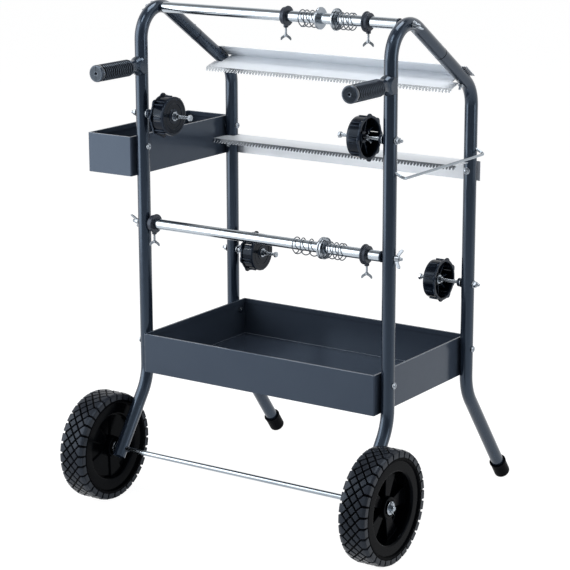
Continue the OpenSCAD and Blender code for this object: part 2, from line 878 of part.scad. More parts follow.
module on_hub(place, at) {
    translate([place.x * at, place.y * post_gap_y, place.y > 0 ? rear_hub_z : front_hub_z])
        rotate([0, place.x * 90, 0])
            children();
}

module tape_hub(place) {
    color("black")
        on_hub(place, hub_face(place))
            rotate([0, 0, 27 * place.y])
                tape_hub_body();
}

// Wing nuts on the long bolts: inside a front hub, or against the post beside a rear one
module hub_wing_nut(place) {
    rear = place.y > 0;
    color("silver")
        on_hub(place, rear ? inner_x - 2 : hub_face(place) + hub_boss + 0.3)
            rotate([rear ? 180 : 0, 0, rear ? 15 : 20])
                wing_nut(hub_bolt_d + 2 * run_gap, 5.5, 6.5, 11, 12);
}

// Long bolts: head at the free end, thread through the post
module hub_bolts() {
    color("silver")
        for (place = hub_places())
            on_hub(place, hub_head(place))
                union() {
                    hexagon(10, 4.5);
                    cylinder(d = hub_bolt_d, h = outer_x + 12 - hub_head(place));
                }
}

// Black spacers on the bolts of the hubs that have no wing nut against the post
module hub_spacers() {
    color("black")
        for (place = hub_places())
            if (place != [-1, 1])
                on_hub(place, inner_x - 7.5)
                    washer(8, hub_bolt_d / 2 + 0.1, 5.7);
}

// Nuts and washers of each hub bolt: at the hub's face with a sleeve, at the post and outside it
// The rear hubs also have a washer and a nut inside
module hub_nuts() {
    hole_r = hub_bolt_d / 2 + 0.05;
    color("silver")
        for (place = hub_places()) {
            on_hub(place, hub_face(place) - 1.9)
                washer(8.5, hole_r, 1.6);
            on_hub(place, hub_face(place) - 7)
                nut(10, 2 * hole_r, 5);
            on_hub(place, hub_face(place) - 12)
                washer(3.75, hole_r, 4.9);
            if (place.y > 0) {
                on_hub(place, hub_face(place) + hub_boss + 0.3)
                    washer(8.5, hole_r, 1.6);
                on_hub(place, hub_face(place) + hub_boss + 2)
                    nut(10, 2 * hole_r, 5);
            }
            on_hub(place, inner_x - 1.7)
                washer(8.75, hole_r, 1.6);
            on_hub(place, outer_x + 0.1)
                washer(7.2, hole_r, 1.2);
            on_hub(place, outer_x + 1.4)
                nut(10, 2 * hole_r, 5);
        }
}

// ---- Trays ---------------------------------------------------------------------------------

// Open tray: floor, four walls and a hem folded inwards round the rim
module tray(w, d, depth) {
    r = 2.5;
    difference() {
        linear_extrude(depth)
            round_rect(w, d, r);
        translate([0, 0, sheet])
            linear_extrude(depth - sheet - 9)
                round_rect(w - 2 * sheet, d - 2 * sheet, r - sheet + 0.2);
        translate([0, 0, depth - 9 - eps])
            linear_extrude(10)
                round_rect(w - 4 * sheet, d - 4 * sheet, 1);
    }
}

small_tray_x = small_tray_left + small_tray_w / 2;
small_tray_d = post_gap_y + 30;
large_tray_d = tray_front + post_gap_y + 20;

module large_tray() {
    color("slategray")
        difference() {
            translate([0, large_tray_d / 2 - tray_front, tray_top - tray_depth])
                tray(2 * inner_x - 1, large_tray_d, tray_depth);
            for (y = [0, post_gap_y])
                along_x(-half_x, y, tray_bolt_z)
                    cylinder(d = bolt_d + 0.4, h = post_gap_x);
        }
}

module small_tray() {
    color("slategray")
        difference() {
            translate([small_tray_x, small_tray_d / 2 - 20, small_tray_top - tray_depth])
                tray(small_tray_w, small_tray_d, tray_depth);
            for (y = [0, post_gap_y])
                along_x(-outer_x - 20, y, small_bolt_z)
                    cylinder(d = bolt_d + 0.4, h = 30);
        }
}

// Bolts that hold both trays to the posts, each with its nut
module tray_bolts() {
    color("silver") {
        both_sides()
            for (y = [0, post_gap_y])
                translate([outer_x + 3.2, y, tray_bolt_z])
                    rotate([0, -90, 0]) {
                        pan_bolt(6, 3.1, bolt_d, tube_d + 9);
                        translate([0, 0, 3.2 + tube_d + 2 * sheet + 1])
                            nut(10, bolt_d - 0.02, 4.5);
                    }
        for (y = [0, post_gap_y])
            translate([-inner_x + 3.2, y, small_bolt_z])
                rotate([0, -90, 0]) {
                    pan_bolt(6, 3.1, bolt_d, tube_d + 11);
                    translate([0, 0, 3.2 + tube_d + 2 * sheet + 1.6])
                        nut(10, bolt_d - 0.02, 4.5);
                }
    }
}

// ---- Cutters -------------------------------------------------------------------------------

cutter_half = outer_x + 2;
tooth_half = inner_x + 15;

// Outline of the toothed strip: root line at 0, tips at the far side
function tooth_points(half, depth) =
    let (pitch = 2 * half / teeth)
    concat([[half, 0], [-half, 0]],
           [for (i = [0 : teeth - 1], step = [0 : 3])
                [-half + pitch * (i + [0, 0.32, 0.68, 1][step]),
                 (step == 1 || step == 2) ? depth : depth * 0.3]]);

// Bent cutter: mounting plate from a to b, flange from b to c, teeth bent down from c
// Beyond the tubes the flange stops a trim length behind its edge; children are cut out round them
module cutter(a, b, c, tooth_dir, trim) {
    color("lightgray") {
        difference() {
            side_plane(-cutter_half)
                linear_extrude(2 * cutter_half)
                    sheet_path([a, b, c], blade_sheet);
            both_sides() {
                side_plane(inner_x - 1)
                    linear_extrude(cutter_half)
                        children();
                side_plane(tooth_half)
                    linear_extrude(cutter_half)
                        translate(c)
                            circle(trim, $fn = 96);
            }
        }
        translate([0, c.x, c.y])
            rotate([atan2(tooth_dir.y, tooth_dir.x), 0, 0])
                translate([0, -0.3, -blade_sheet / 2])
                    linear_extrude(blade_sheet)
                        polygon(tooth_points(tooth_half, tooth_strip));
    }
}

// Upper cutter: its plate lies on the diagonals just above the rear bends
upper_low = rear_bend_start + (tube_r + blade_sheet / 2 + 0.1) * diagonal_up + 4 * diagonal_dir;
upper_high = upper_low - cutter_plate * diagonal_dir;
upper_edge = upper_low + cutter_flange * [-cos(15), -sin(15)];
upper_bolt = rear_bend_start - 9 * diagonal_dir;
notch = 27;
upper_notch = upper_low + diagonal_dir - (blade_sheet / 2 + 0.05) * diagonal_up;

module upper_cutter() {
    difference() {
        cutter(upper_high, upper_low, upper_edge, [-cos(55), -sin(55)], 33)
            polygon([upper_notch, upper_notch - notch * diagonal_dir,
                     upper_notch - notch * (diagonal_dir + diagonal_up), upper_notch - notch * diagonal_up]);
        both_sides()
            upper_bolt_place(-20)
                cylinder(d = 5.6, h = 60);
    }
}

module upper_bolt_place(at) {
    side_plane(half_x)
        translate([upper_bolt.x, upper_bolt.y, 0])
            rotate([0, 0, -diagonal_angle])
                rotate([-90, 0, 0])
                    translate([0, 0, at])
                        children();
}

// Lower cutter: its plate stands behind the rear posts
lower_y = post_gap_y + tube_r + blade_sheet / 2 + 0.1;

module lower_cutter() {
    difference() {
        cutter([lower_y, low_cutter_z - cutter_plate], [lower_y, low_cutter_z],
               [lower_y - cutter_flange - 6, low_cutter_z + 1], [-cos(50), -sin(50)], 43)
            translate([post_gap_y - tube_r - 1.2, low_cutter_z - 4])
                square([2 * tube_r + 1.2, 8]);
        for (x = [-half_x, half_x])
            along_y(x, post_gap_y, low_screw_z)
                cylinder(d = 5.6, h = 40);
    }
}

// Screws of both cutters, with washers and nuts
module cutter_screws() {
    color("silver")
        both_sides() {
            along_y(half_x, post_gap_y - tube_r - 5.2, low_screw_z) {
                pan_bolt(5, 3.2, cutter_screw_d, tube_d + 9);
                translate([0, 0, 3.3])
                    washer(6.5, 2.45, 1.6);
                translate([0, 0, 5.3 + tube_d + blade_sheet + 0.3])
                    nut(8, cutter_screw_d - 0.02, 4);
            }
            upper_bolt_place(tube_r + blade_sheet + 3.6)
                mirror([0, 0, 1])
                    pan_bolt(5, 3.2, cutter_screw_d, tube_d + 12);
            upper_bolt_place(-tube_r - 4.2)
                nut(8, cutter_screw_d - 0.02, 4);
        }
}

// ---- Side rail -----------------------------------------------------------------------------

// Bent wire on the right side: two short arms that slope outwards and a long run between them
module side_rail() {
    corner_r = 7;
    arm = norm([rail_out - tube_r, rail_drop]);
    slope = atan2(rail_drop, rail_out - tube_r);
    start = 6;
    color("silver")
        translate([outer_x, 0, rail_z])
            rotate([0, slope, 0]) {
                for (y = [0, post_gap_y])
                    along_x(-start, y, 0)
                        cylinder(d = rail_d, h = arm + start - corner_r);
                translate([arm, corner_r, 0])
                    rotate([-90, 0, 0])
                        cylinder(d = rail_d, h = post_gap_y - 2 * corner_r);
                translate([arm - corner_r, corner_r, 0])
                    rotate([0, 0, -90])
                        rail_corner(corner_r);
                translate([arm - corner_r, post_gap_y - corner_r, 0])
                    rail_corner(corner_r);
            }
}

module rail_corner(corner_r) {
    rotate_extrude(angle = 90)
        translate([corner_r, 0])
            circle(d = rail_d);
}

// ---- Pieces --------------------------------------------------------------------------------

top_p = [top_bar_y, top_bar_z];
mid_p = [0, mid_bar_z];

module at_origin() {
    translate([-centre_x, -centre_y, 0])
        children();
}

at_origin() frame_front(-1);  // frame_front_left
at_origin() frame_front(1);  // frame_front_right
at_origin() frame_rear(-1);  // frame_rear_left
at_origin() frame_rear(1);  // frame_rear_right
at_origin() frame_seam_screws();
at_origin() foot_caps();
at_origin() handle_pegs();
at_origin() grips();
at_origin() axle();
at_origin() axle_washers();
at_origin() cotter_pins();
at_origin() tyre(-1);  // tyre_left
at_origin() tyre(1);  // tyre_right
at_origin() rim(-1);  // rim_left
at_origin() rim(1);  // rim_right
at_origin() top_bar();
at_origin() mid_bar();
at_origin() bar_end_plugs();
at_origin() bar_studs();
at_origin() bar_wing_nut(top_p, -1);  // wing_nut_top_left
at_origin() bar_wing_nut(top_p, 1);  // wing_nut_top_right
at_origin() bar_wing_nut(mid_p, -1);  // wing_nut_mid_left
at_origin() bar_wing_nut(mid_p, 1);  // wing_nut_mid_right
at_origin() collar(top_left[0], top_p, 1);  // collar_top_left
at_origin() collar(top_right[0], top_p, -1);  // collar_top_right
at_origin() collar(mid_left[0], mid_p, 1);  // collar_mid_left
at_origin() collar(mid_right[0], mid_p, -1);  // collar_mid_right
at_origin() thumb_screw(top_left[0], top_p, 1);  // thumb_screw_top_left
at_origin() thumb_screw(top_right[0], top_p, -1);  // thumb_screw_top_right
at_origin() thumb_screw(mid_left[0], mid_p, 1);  // thumb_screw_mid_left
at_origin() thumb_screw(mid_right[0], mid_p, -1);  // thumb_screw_mid_right
at_origin() spring(top_left, top_p, 1);  // spring_top_left
at_origin() spring(top_right, top_p, -1);  // spring_top_right
at_origin() spring(mid_left, mid_p, 1);  // spring_mid_left
at_origin() spring(mid_right, mid_p, -1);  // spring_mid_right
at_origin() cup(top_left[2], top_p, 1);  // cup_top_left
at_origin() cup(top_right[2], top_p, -1);  // cup_top_right
at_origin() cup(mid_left[2], mid_p, 1);  // cup_mid_left
at_origin() cup(mid_right[2], mid_p, -1);  // cup_mid_right
at_origin() tape_hub([-1, 0]);  // tape_hub_front_left
at_origin() tape_hub([1, 0]);  // tape_hub_front_right
at_origin() tape_hub([-1, 1]);  // tape_hub_rear_left
at_origin() tape_hub([1, 1]);  // tape_hub_rear_right
at_origin() hub_wing_nut([-1, 0]);  // hub_wing_nut_front_left
at_origin() hub_wing_nut([1, 0]);  // hub_wing_nut_front_right
at_origin() hub_wing_nut([-1, 1]);  // hub_wing_nut_rear_left
at_origin() hub_bolts();
at_origin() hub_spacers();
at_origin() hub_nuts();
at_origin() large_tray();
at_origin() small_tray();
at_origin() tray_bolts();
at_origin() upper_cutter();
at_origin() lower_cutter();
at_origin() cutter_screws();
at_origin() side_rail();
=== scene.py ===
import json
from math import atan2, cos, degrees, hypot, pi, radians, sin, sqrt, tan, tau

import bmesh
import bpy
from mathutils import Euler, Matrix, Vector


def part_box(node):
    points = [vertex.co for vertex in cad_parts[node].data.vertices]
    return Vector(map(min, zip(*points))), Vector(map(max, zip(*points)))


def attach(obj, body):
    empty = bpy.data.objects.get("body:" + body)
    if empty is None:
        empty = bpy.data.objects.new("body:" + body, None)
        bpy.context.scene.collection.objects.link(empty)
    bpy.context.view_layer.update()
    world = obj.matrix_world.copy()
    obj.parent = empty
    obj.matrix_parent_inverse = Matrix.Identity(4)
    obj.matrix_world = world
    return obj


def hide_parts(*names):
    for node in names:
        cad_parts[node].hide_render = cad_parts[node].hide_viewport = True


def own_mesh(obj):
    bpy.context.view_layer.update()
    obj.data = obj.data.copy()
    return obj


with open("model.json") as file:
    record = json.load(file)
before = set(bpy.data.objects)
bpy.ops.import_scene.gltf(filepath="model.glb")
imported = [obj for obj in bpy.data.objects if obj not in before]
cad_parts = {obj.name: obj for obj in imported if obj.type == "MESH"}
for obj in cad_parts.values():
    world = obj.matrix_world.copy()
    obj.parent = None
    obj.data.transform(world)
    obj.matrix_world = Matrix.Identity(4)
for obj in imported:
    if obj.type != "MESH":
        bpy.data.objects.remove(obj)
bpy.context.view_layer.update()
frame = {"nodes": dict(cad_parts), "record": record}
NODES = frame["nodes"]

# The middle between the side frames and the line of the front posts, in metres
left_lo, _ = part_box("frame_front_left")
_, right_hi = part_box("frame_front_right")
bar_lo, bar_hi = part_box("mid_bar")
MID_X = (left_lo[0] + right_hi[0]) / 2
POST_Y = (bar_lo[1] + bar_hi[1]) / 2


def at(x, y, z):
    """A point given in millimetres from the middle between the frames and the front posts."""
    return Vector((MID_X + x / 1000, POST_Y + y / 1000, z / 1000))


# ---------------- driving dimensions, in millimetres

# Side frames: tube, its middle from the cart's middle, front to rear post, upper bend, slopes in degrees
TUBE_R = 12.0
POST_X, POST_GAP = 263.0, 280.0
INNER_X, OUTER_X = POST_X - TUBE_R, POST_X + TUBE_R
TOP_BEND_R, TOP_BEND_Z = 55.0, 854.0
DIAGONAL_SLOPE, REAR_LEG_SLOPE = 33.0, 37.0

# Behind the front posts: the seam of the two tubes, and the rear leg where it would meet the floor
SEAM_Y, FOOT_Y = 165.0, 439.0

WHEEL_X, WHEEL_R, AXLE_Y = POST_X + 40.0, 101.6, -82.0
BAR_R, TOP_BAR_Y, MID_BAR_Z = 9.5, 50.0, 517.0
TRAY_TOP, SMALL_TRAY_TOP, TRAY_DEPTH = 311.0, 677.0, 73.0
TRAY_BOLT_Z, SMALL_TRAY_BOLT_Z = TRAY_TOP - 20, SMALL_TRAY_TOP - 18
LOWER_CUTTER_Z, CUTTER_PLATE, CUTTER_FLANGE, BLADE = 640.0, 36.0, 64.0, 1.2
LOWER_SCREW_Z = LOWER_CUTTER_Z - 15

# Side view of a frame, as (y, z): along and away from the diagonal, its upper end, seam, corner, rear bend
DIAGONAL = Vector((cos(radians(DIAGONAL_SLOPE)), -sin(radians(DIAGONAL_SLOPE))))
DIAGONAL_UP = Vector((-DIAGONAL.y, DIAGONAL.x))
DIAGONAL_TOP = Vector((TOP_BEND_R, TOP_BEND_Z)) + TOP_BEND_R * DIAGONAL_UP
SEAM = DIAGONAL_TOP + (SEAM_Y - DIAGONAL_TOP.x) / DIAGONAL.x * DIAGONAL
CORNER = DIAGONAL_TOP + (POST_GAP - DIAGONAL_TOP.x) / DIAGONAL.x * DIAGONAL
REAR_BEND = CORNER - TOP_BEND_R * tan(radians((90 - DIAGONAL_SLOPE) / 2)) * DIAGONAL
UPPER_BOLT = REAR_BEND - 9 * DIAGONAL

# Axes of the two roll bars, as (y, z)
TOP_BAR = (TOP_BAR_Y, round(TOP_BEND_Z + sqrt(TOP_BEND_R ** 2 - (TOP_BEND_R - TOP_BAR_Y) ** 2), 2))
MID_BAR = (0.0, MID_BAR_Z)

SIDES = (("left", -1), ("right", 1))


# ---------------- camera, lamps, world, floor

AZIMUTH, ELEVATION, ROLL = 33.986, 13.919, -0.144
FOCAL_PX, DISTANCE = 2032.0, 3.661
TARGET = at(14.6, 50.8, 424.6)
IMAGE_PX = 570.0
SENSOR = 36.0

# Toward the camera and level with the floor: the studio is dimmer on that side
FRONT = (0.60, -0.78, 0)
FRONT_LIGHT = 0.25

# Each lamp: its place and the point it faces in metres, width, height, watts
LAMPS = {
    "left_box": ((-1.60, -1.25, 1.00), (0, 0, 0.55), 1.40, 2.0, 26),
    "left_strip": ((-0.85, -1.45, 1.00), (0, 0, 0.55), 0.50, 1.9, 8),
    "right_box": ((2.60, 0.40, 1.10), (0, 0, 0.50), 1.10, 1.8, 18),
    "front_top": ((-0.2, -1.5, 2.9), (0, 0, 0.5), 0.9, 0.9, 15),
    "overhead": ((0.1, 0.3, 2.9), (0, 0, 0.4), 1.2, 1.2, 30),
}


def add_object(name, data):
    made = bpy.data.objects.new(name, data)
    bpy.context.scene.collection.objects.link(made)
    return made


def make_camera():
    azimuth, elevation, roll = (radians(v) for v in (AZIMUTH, ELEVATION, ROLL))
    level = cos(elevation)
    look = Vector((-sin(azimuth) * level, cos(azimuth) * level, -sin(elevation)))
    right = Vector((cos(azimuth), sin(azimuth), 0.0))
    up = right.cross(look)
    side = right * cos(roll) + up * sin(roll)
    top = up * cos(roll) - right * sin(roll)
    data = bpy.data.cameras.new("camera")
    data.lens = FOCAL_PX / IMAGE_PX * SENSOR
    data.sensor_width = SENSOR
    data.clip_start, data.clip_end = 0.05, 60.0
    cam = add_object("camera", data)
    turn = Matrix((side, top, -look)).transposed()
    cam.matrix_world = Matrix.Translation(TARGET - look * DISTANCE) @ turn.to_4x4()
    bpy.context.scene.camera = cam


def make_lamps():
    for name, (place, target, width, height, watts) in LAMPS.items():
        data = bpy.data.lights.new(name, "AREA")
        data.shape = "RECTANGLE"
        data.size, data.size_y = width, height
        data.energy = watts
        lamp = add_object(name, data)
        lamp.location = place
        lamp.rotation_euler = (Vector(target) - Vector(place)).to_track_quat("-Z", "Y").to_euler()


def link(tree, value, socket):
    """Feeds a socket: from another node's output, or with a plain value on the socket itself."""
    if isinstance(value, bpy.types.NodeSocket):
        tree.links.new(value, socket)
    else:
        socket.default_value = value


def new_node(tree, kind, **sockets):
    """Adds a shader node and feeds its sockets, whose names are given with _ for a space."""
    node = tree.nodes.new("ShaderNode" + kind)
    for name, value in sockets.items():
        link(tree, value, node.inputs[name.replace("_", " ")])
    return node


def maths(tree, operation, first, second):
    node = new_node(tree, "Math")
    node.operation = operation
    link(tree, first, node.inputs[0])
    link(tree, second, node.inputs[1])
    return node.outputs[0]


def map_range(tree, value, start, end, low, high):
    """Carries a value between start and end to between low and high."""
    node = new_node(tree, "MapRange", Value=value, From_Min=start, From_Max=end, To_Min=low, To_Max=high)
    return node.outputs["Result"]


def upward(tree, direction):
    """The Z part of a direction."""
    return new_node(tree, "SeparateXYZ", Vector=direction).outputs["Z"]


def dimmer_front(tree, place, start, end):
    """The side behind the camera is dimmer than the white at both sides."""
    toward = new_node(tree, "VectorMath")
    toward.operation = "DOT_PRODUCT"
    for value, socket in zip((place, FRONT), toward.inputs):
        link(tree, value, socket)
    return map_range(tree, toward.outputs["Value"], start, end, 1.0, FRONT_LIGHT)


def mix_surface(tree, output, share, first, second):
    """Ends a node tree: the second shader by its share, the first for the rest."""
    out = new_node(tree, output)
    mixer = new_node(tree, "MixShader")
    for value, socket in zip((share, first.outputs[0], second.outputs[0]), mixer.inputs):
        tree.links.new(value, socket)
    tree.links.new(mixer.outputs[0], out.inputs["Surface"])


def make_world():
    world = bpy.data.worlds.new("studio")
    bpy.context.scene.world = world
    world.use_nodes = True
    tree = world.node_tree
    tree.nodes.clear()
    path = new_node(tree, "LightPath")
    seen = maths(tree, "MAXIMUM", path.outputs["Is Camera Ray"], path.outputs["Is Glossy Ray"])
    seen = maths(tree, "MAXIMUM", seen, path.outputs["Is Transmission Ray"])
    # White round the horizon, dimmer high overhead, as under a studio ceiling
    direction = new_node(tree, "TexCoord").outputs["Generated"]
    ceiling = map_range(tree, upward(tree, direction), 0.66, 0.78, 1.0, 0.30)
    strength = maths(tree, "MULTIPLY", ceiling, dimmer_front(tree, direction, 0.60, 0.88))
    white = new_node(tree, "Background", Color=(1, 1, 1, 1), Strength=strength)
    ambient = new_node(tree, "Background", Color=(0.93, 0.96, 1.0, 1), Strength=0.14)
    mix_surface(tree, "OutputWorld", seen, ambient, white)


def make_floor():
    bm = bmesh.new()
    bmesh.ops.create_grid(bm, x_segments=1, y_segments=1, size=9.0)
    mesh = bpy.data.meshes.new("floor")
    bm.to_mesh(mesh)
    bm.free()
    floor = add_object("floor", mesh)
    mat = bpy.data.materials.new("floor_white")
    mat.use_nodes = True
    tree = mat.node_tree
    tree.nodes.clear()
    path = new_node(tree, "LightPath")
    place = new_node(tree, "TexCoord").outputs["Object"]
    mirrored = maths(tree, "MULTIPLY", path.outputs["Is Glossy Ray"], dimmer_front(tree, place, 0.55, 1.25))
    seen = maths(tree, "MAXIMUM", path.outputs["Is Camera Ray"], mirrored)
    # The rest is matt, so that the cart's shadow shows
    share = maths(tree, "MULTIPLY", seen, 0.76)
    white = new_node(tree, "Emission", Strength=1.27)
    matt = new_node(tree, "BsdfDiffuse", Color=(0.92, 0.92, 0.93, 1))
    mix_surface(tree, "OutputMaterial", share, matt, white)
    mesh.materials.append(mat)


# ---------------- materials

# Where the mesh is hollow or ridged, as Pointiness gives it: a groove, the start of a ridge, a full ridge
GROOVE, RIDGE_START, RIDGE = 0.46, 0.505, 0.56

MATS = {}


def new_material(name, metallic=0.0, specular=0.5, tint=(1, 1, 1)):
    """Adds a material to MATS, and gives its node tree and its main shader."""
    mat = MATS[name] = bpy.data.materials.new(name)
    mat.use_nodes = True
    tree = mat.node_tree
    bsdf = tree.nodes["Principled BSDF"]
    for socket, value in (("Metallic", metallic), ("Specular IOR Level", specular),
                          ("Specular Tint", (*tint, 1))):
        link(tree, value, bsdf.inputs[socket])
    return tree, bsdf


def noise(tree, scale, detail=3.0, stretch=(1, 1, 1)):
    place = new_node(tree, "TexCoord").outputs["Object"]
    mapping = new_node(tree, "Mapping", Vector=place, Scale=stretch)
    cloud = new_node(tree, "TexNoise", Vector=mapping.outputs["Vector"], Scale=scale, Detail=detail,
                     Roughness=0.55)
    return cloud.outputs["Fac"]


def ramp(tree, value, start, first, end, second):
    """One colour up to the start, another from the end on."""
    node = new_node(tree, "ValToRGB", Fac=value)
    for element, place, colour in zip(node.color_ramp.elements, (start, end), (first, second)):
        element.position = place
        element.color = (*colour, 1)
    return node.outputs["Color"]


def over(tree, share, colour, other):
    """A colour that gives way to another by its share."""
    node = new_node(tree, "Mix")
    node.data_type = "RGBA"
    for name, value in (("Factor", share), ("A", colour), ("B", (*other, 1))):
        link(tree, value, node.inputs[name])
    return node.outputs["Result"]


def spread(tree, value, low, high):
    return map_range(tree, value, 0.3, 0.7, low, high)


def softened(tree, radius, samples):
    """The surface's direction with its edges rounded by a radius in metres."""
    soft = new_node(tree, "Bevel", Radius=radius)
    soft.samples = samples
    return soft.outputs["Normal"]


def bump(tree, bsdf, value, strength, distance, radius=0.0):
    node = new_node(tree, "Bump", Strength=strength, Distance=distance, Height=value)
    if radius:
        link(tree, softened(tree, radius, 4), node.inputs["Normal"])
    link(tree, node.outputs["Normal"], bsdf.inputs["Normal"])


def painted_rim_highlight(tree, radius, low, high):
    """Mask for a painted highlight: 1 along upward-turning folds and rims, 0 on flat faces."""
    face = new_node(tree, "NewGeometry").outputs["True Normal"]
    turning = map_range(tree, upward(tree, softened(tree, radius, 6)), low, high, 0, 1)
    not_flat = map_range(tree, upward(tree, face), 0.95, 0.99, 1, 0)
    return maths(tree, "MULTIPLY", turning, not_flat)


def paint(name, dark, light, rough=(0.13, 0.18), specular=0.65, edge=None):
    tree, bsdf = new_material(name, specular=specular, tint=(0.58, 0.76, 1.0))
    colour = ramp(tree, noise(tree, 9, 4), 0.35, dark, 0.65, light)
    # edge is the colour of a painted highlight along upward-turning folds and rims
    if edge:
        colour = over(tree, painted_rim_highlight(tree, 0.0016, 0.15, 0.55), colour, edge)
    link(tree, colour, bsdf.inputs["Base Color"])
    link(tree, spread(tree, noise(tree, 40), *rough), bsdf.inputs["Roughness"])
    bump(tree, bsdf, noise(tree, 420, 2), 0.02, 0.0003, 0.0007)


def metal(name, dark, light, rough, stretch=(1, 1, 1), fine=300, grain=0.01, radius=0.0, metallic=1.0):
    tree, bsdf = new_material(name, metallic=metallic)
    link(tree, ramp(tree, noise(tree, 14, 4), 0.3, dark, 0.7, light), bsdf.inputs["Base Color"])
    streak = noise(tree, fine, 3, stretch)
    link(tree, spread(tree, streak, *rough), bsdf.inputs["Roughness"])
    bump(tree, bsdf, streak, grain, 0.0002, radius)


def plastic(name, dark, light, rough, grain, fine, radius=0.0, specular=0.12, wear_and_highlight=None, shine=None):
    """The colour for the ridges stands for wear and for a painted highlight on them; shine is the gloss of
    grooves and of ridges.
    """
    tree, bsdf = new_material(name, specular=specular, tint=(0.66, 0.81, 1.0))
    colour = ramp(tree, noise(tree, 25, 4), 0.3, dark, 0.7, light)
    if wear_and_highlight:
        shape = new_node(tree, "NewGeometry").outputs["Pointiness"]
        # Ridges lighter: wear, and a painted highlight where light would catch them
        ridge = ramp(tree, shape, RIDGE_START, (0, 0, 0), RIDGE, (1, 1, 1))
        colour = over(tree, ridge, colour, wear_and_highlight)
        if shine:
            gloss = map_range(tree, shape, GROOVE, RIDGE, *shine)
            link(tree, gloss, bsdf.inputs["Specular IOR Level"])
    link(tree, colour, bsdf.inputs["Base Color"])
    link(tree, spread(tree, noise(tree, 60), *rough), bsdf.inputs["Roughness"])
    bump(tree, bsdf, noise(tree, fine), grain, 0.0004, radius)


# frame_paint and tray_paint are one paint: a darker shaded copy on the frame's tubes and a lighter lit copy
# on the trays, painted shade and painted light
paint("frame_paint", (0.013, 0.0195, 0.032), (0.0145, 0.0215, 0.035))
# The trays' lighter rim colour is a painted highlight along their folds and rims
paint("tray_paint", (0.041, 0.054, 0.078), (0.044, 0.058, 0.082), (0.15, 0.18), 0.35, (0.34, 0.39, 0.46))
metal("zinc", (0.25, 0.28, 0.32), (0.38, 0.42, 0.46), (0.14, 0.24), grain=0.02, radius=0.0003)
metal("bar", (0.38, 0.43, 0.48), (0.46, 0.51, 0.56), (0.10, 0.18), (0.06, 1, 1), 260, 0.02)
metal("rod", (0.26, 0.30, 0.34), (0.34, 0.38, 0.42), (0.14, 0.20), (0.06, 1, 1), 260)
metal("blade", (0.76, 0.80, 0.85), (0.82, 0.86, 0.90), (0.40, 0.48), (0.02, 1, 1), 400, metallic=0.25)
# One steel for all the teeth: a darker shaded copy for the lower cutter and a lighter lit copy for the upper,
# painted shade and painted light
metal("shaded_teeth_steel", (0.30, 0.33, 0.37), (0.38, 0.41, 0.45), (0.12, 0.18))
metal("lit_teeth_steel", (0.60, 0.64, 0.68), (0.70, 0.74, 0.78), (0.20, 0.28))
metal("spring_steel", (0.085, 0.100, 0.120), (0.14, 0.16, 0.185), (0.30, 0.40))
plastic("collar_plastic", (0.022, 0.025, 0.036), (0.028, 0.031, 0.043), (0.26, 0.34), 0.03, 700, 0.0005, 0.40)
# The grip's rib tops are lighter: some wear, and a painted highlight
plastic("grip_rubber", (0.006, 0.008, 0.012), (0.008, 0.011, 0.016), (0.14, 0.18), 0.03, 900,
        wear_and_highlight=(0.034, 0.042, 0.060), shine=(0.0, 1.0))
# The tyre's carcass and its tread blocks are one rubber: a darker shaded copy for the carcass and a lighter
# lit copy for the tread, painted shade and painted light
plastic("tyre_rubber", (0.0010, 0.0012, 0.0018), (0.0014, 0.0017, 0.0024), (0.34, 0.42), 0.08, 600,
        specular=0.015)
# The tread blocks' edges are lighter: a painted highlight
plastic("lit_tread_rubber", (0.0022, 0.0027, 0.0040), (0.0036, 0.0044, 0.0062), (0.20, 0.28), 0.05, 600,
        wear_and_highlight=(0.022, 0.026, 0.034), shine=(0.0, 0.15))
plastic("rim_plastic", (0.0010, 0.0012, 0.0018), (0.0014, 0.0017, 0.0024), (0.18, 0.25), 0.05, 800,
        0.001, 0.03)
# The hub's ribs and edges are lighter: a painted highlight
plastic("hub_plastic", (0.0022, 0.0036, 0.0078), (0.0032, 0.0050, 0.0100), (0.10, 0.15), 0.02, 700,
        specular=0.16, wear_and_highlight=(0.020, 0.028, 0.044))
plastic("cap_rubber", (0.0012, 0.0014, 0.0020), (0.0018, 0.0020, 0.0028), (0.4, 0.5), 0.1, 700, 0.0005, 0.03)


# ---------------- shapes, in millimetres

MM = 0.001


def seat(place, turn=(0, 0, 0), spin=0.0):
    """Carries a shape built in millimetres round +Z to its place on the cart."""
    angles = Euler([radians(v) for v in turn])
    return turned(Matrix.Translation(at(*place)) @ angles.to_matrix().to_4x4(), spin) @ Matrix.Scale(MM, 4)


def outward(sign, x, y, z, spin=0.0):
    """A seat at x on one side of the cart, with the shape's Z pointing away from the middle."""
    return seat((sign * x, y, z), (0, 90 * sign, 0), spin)


def up(place, z):
    """A seat moved along its own Z."""
    return place @ Matrix.Translation((0, 0, z))


def turned(place, degrees):
    """A seat turned round its own Z."""
    return place @ Matrix.Rotation(radians(degrees), 4, "Z")


def only(kind, geom):
    return [g for g in geom if isinstance(g, kind)]


def face_out(bm):
    bmesh.ops.recalc_face_normals(bm, faces=bm.faces)


def soften(bm, width, sharper=28, segments=2):
    """Rounds every edge whose faces meet at more than an angle in degrees."""
    edges = [e for e in bm.edges if len(e.link_faces) == 2 and e.calc_face_angle() > radians(sharper)]
    bmesh.ops.bevel(bm, geom=edges, offset=width, offset_type="OFFSET", affect="EDGES", segments=segments,
                    profile=0.5, material=-1, clamp_overlap=True)
    return bm


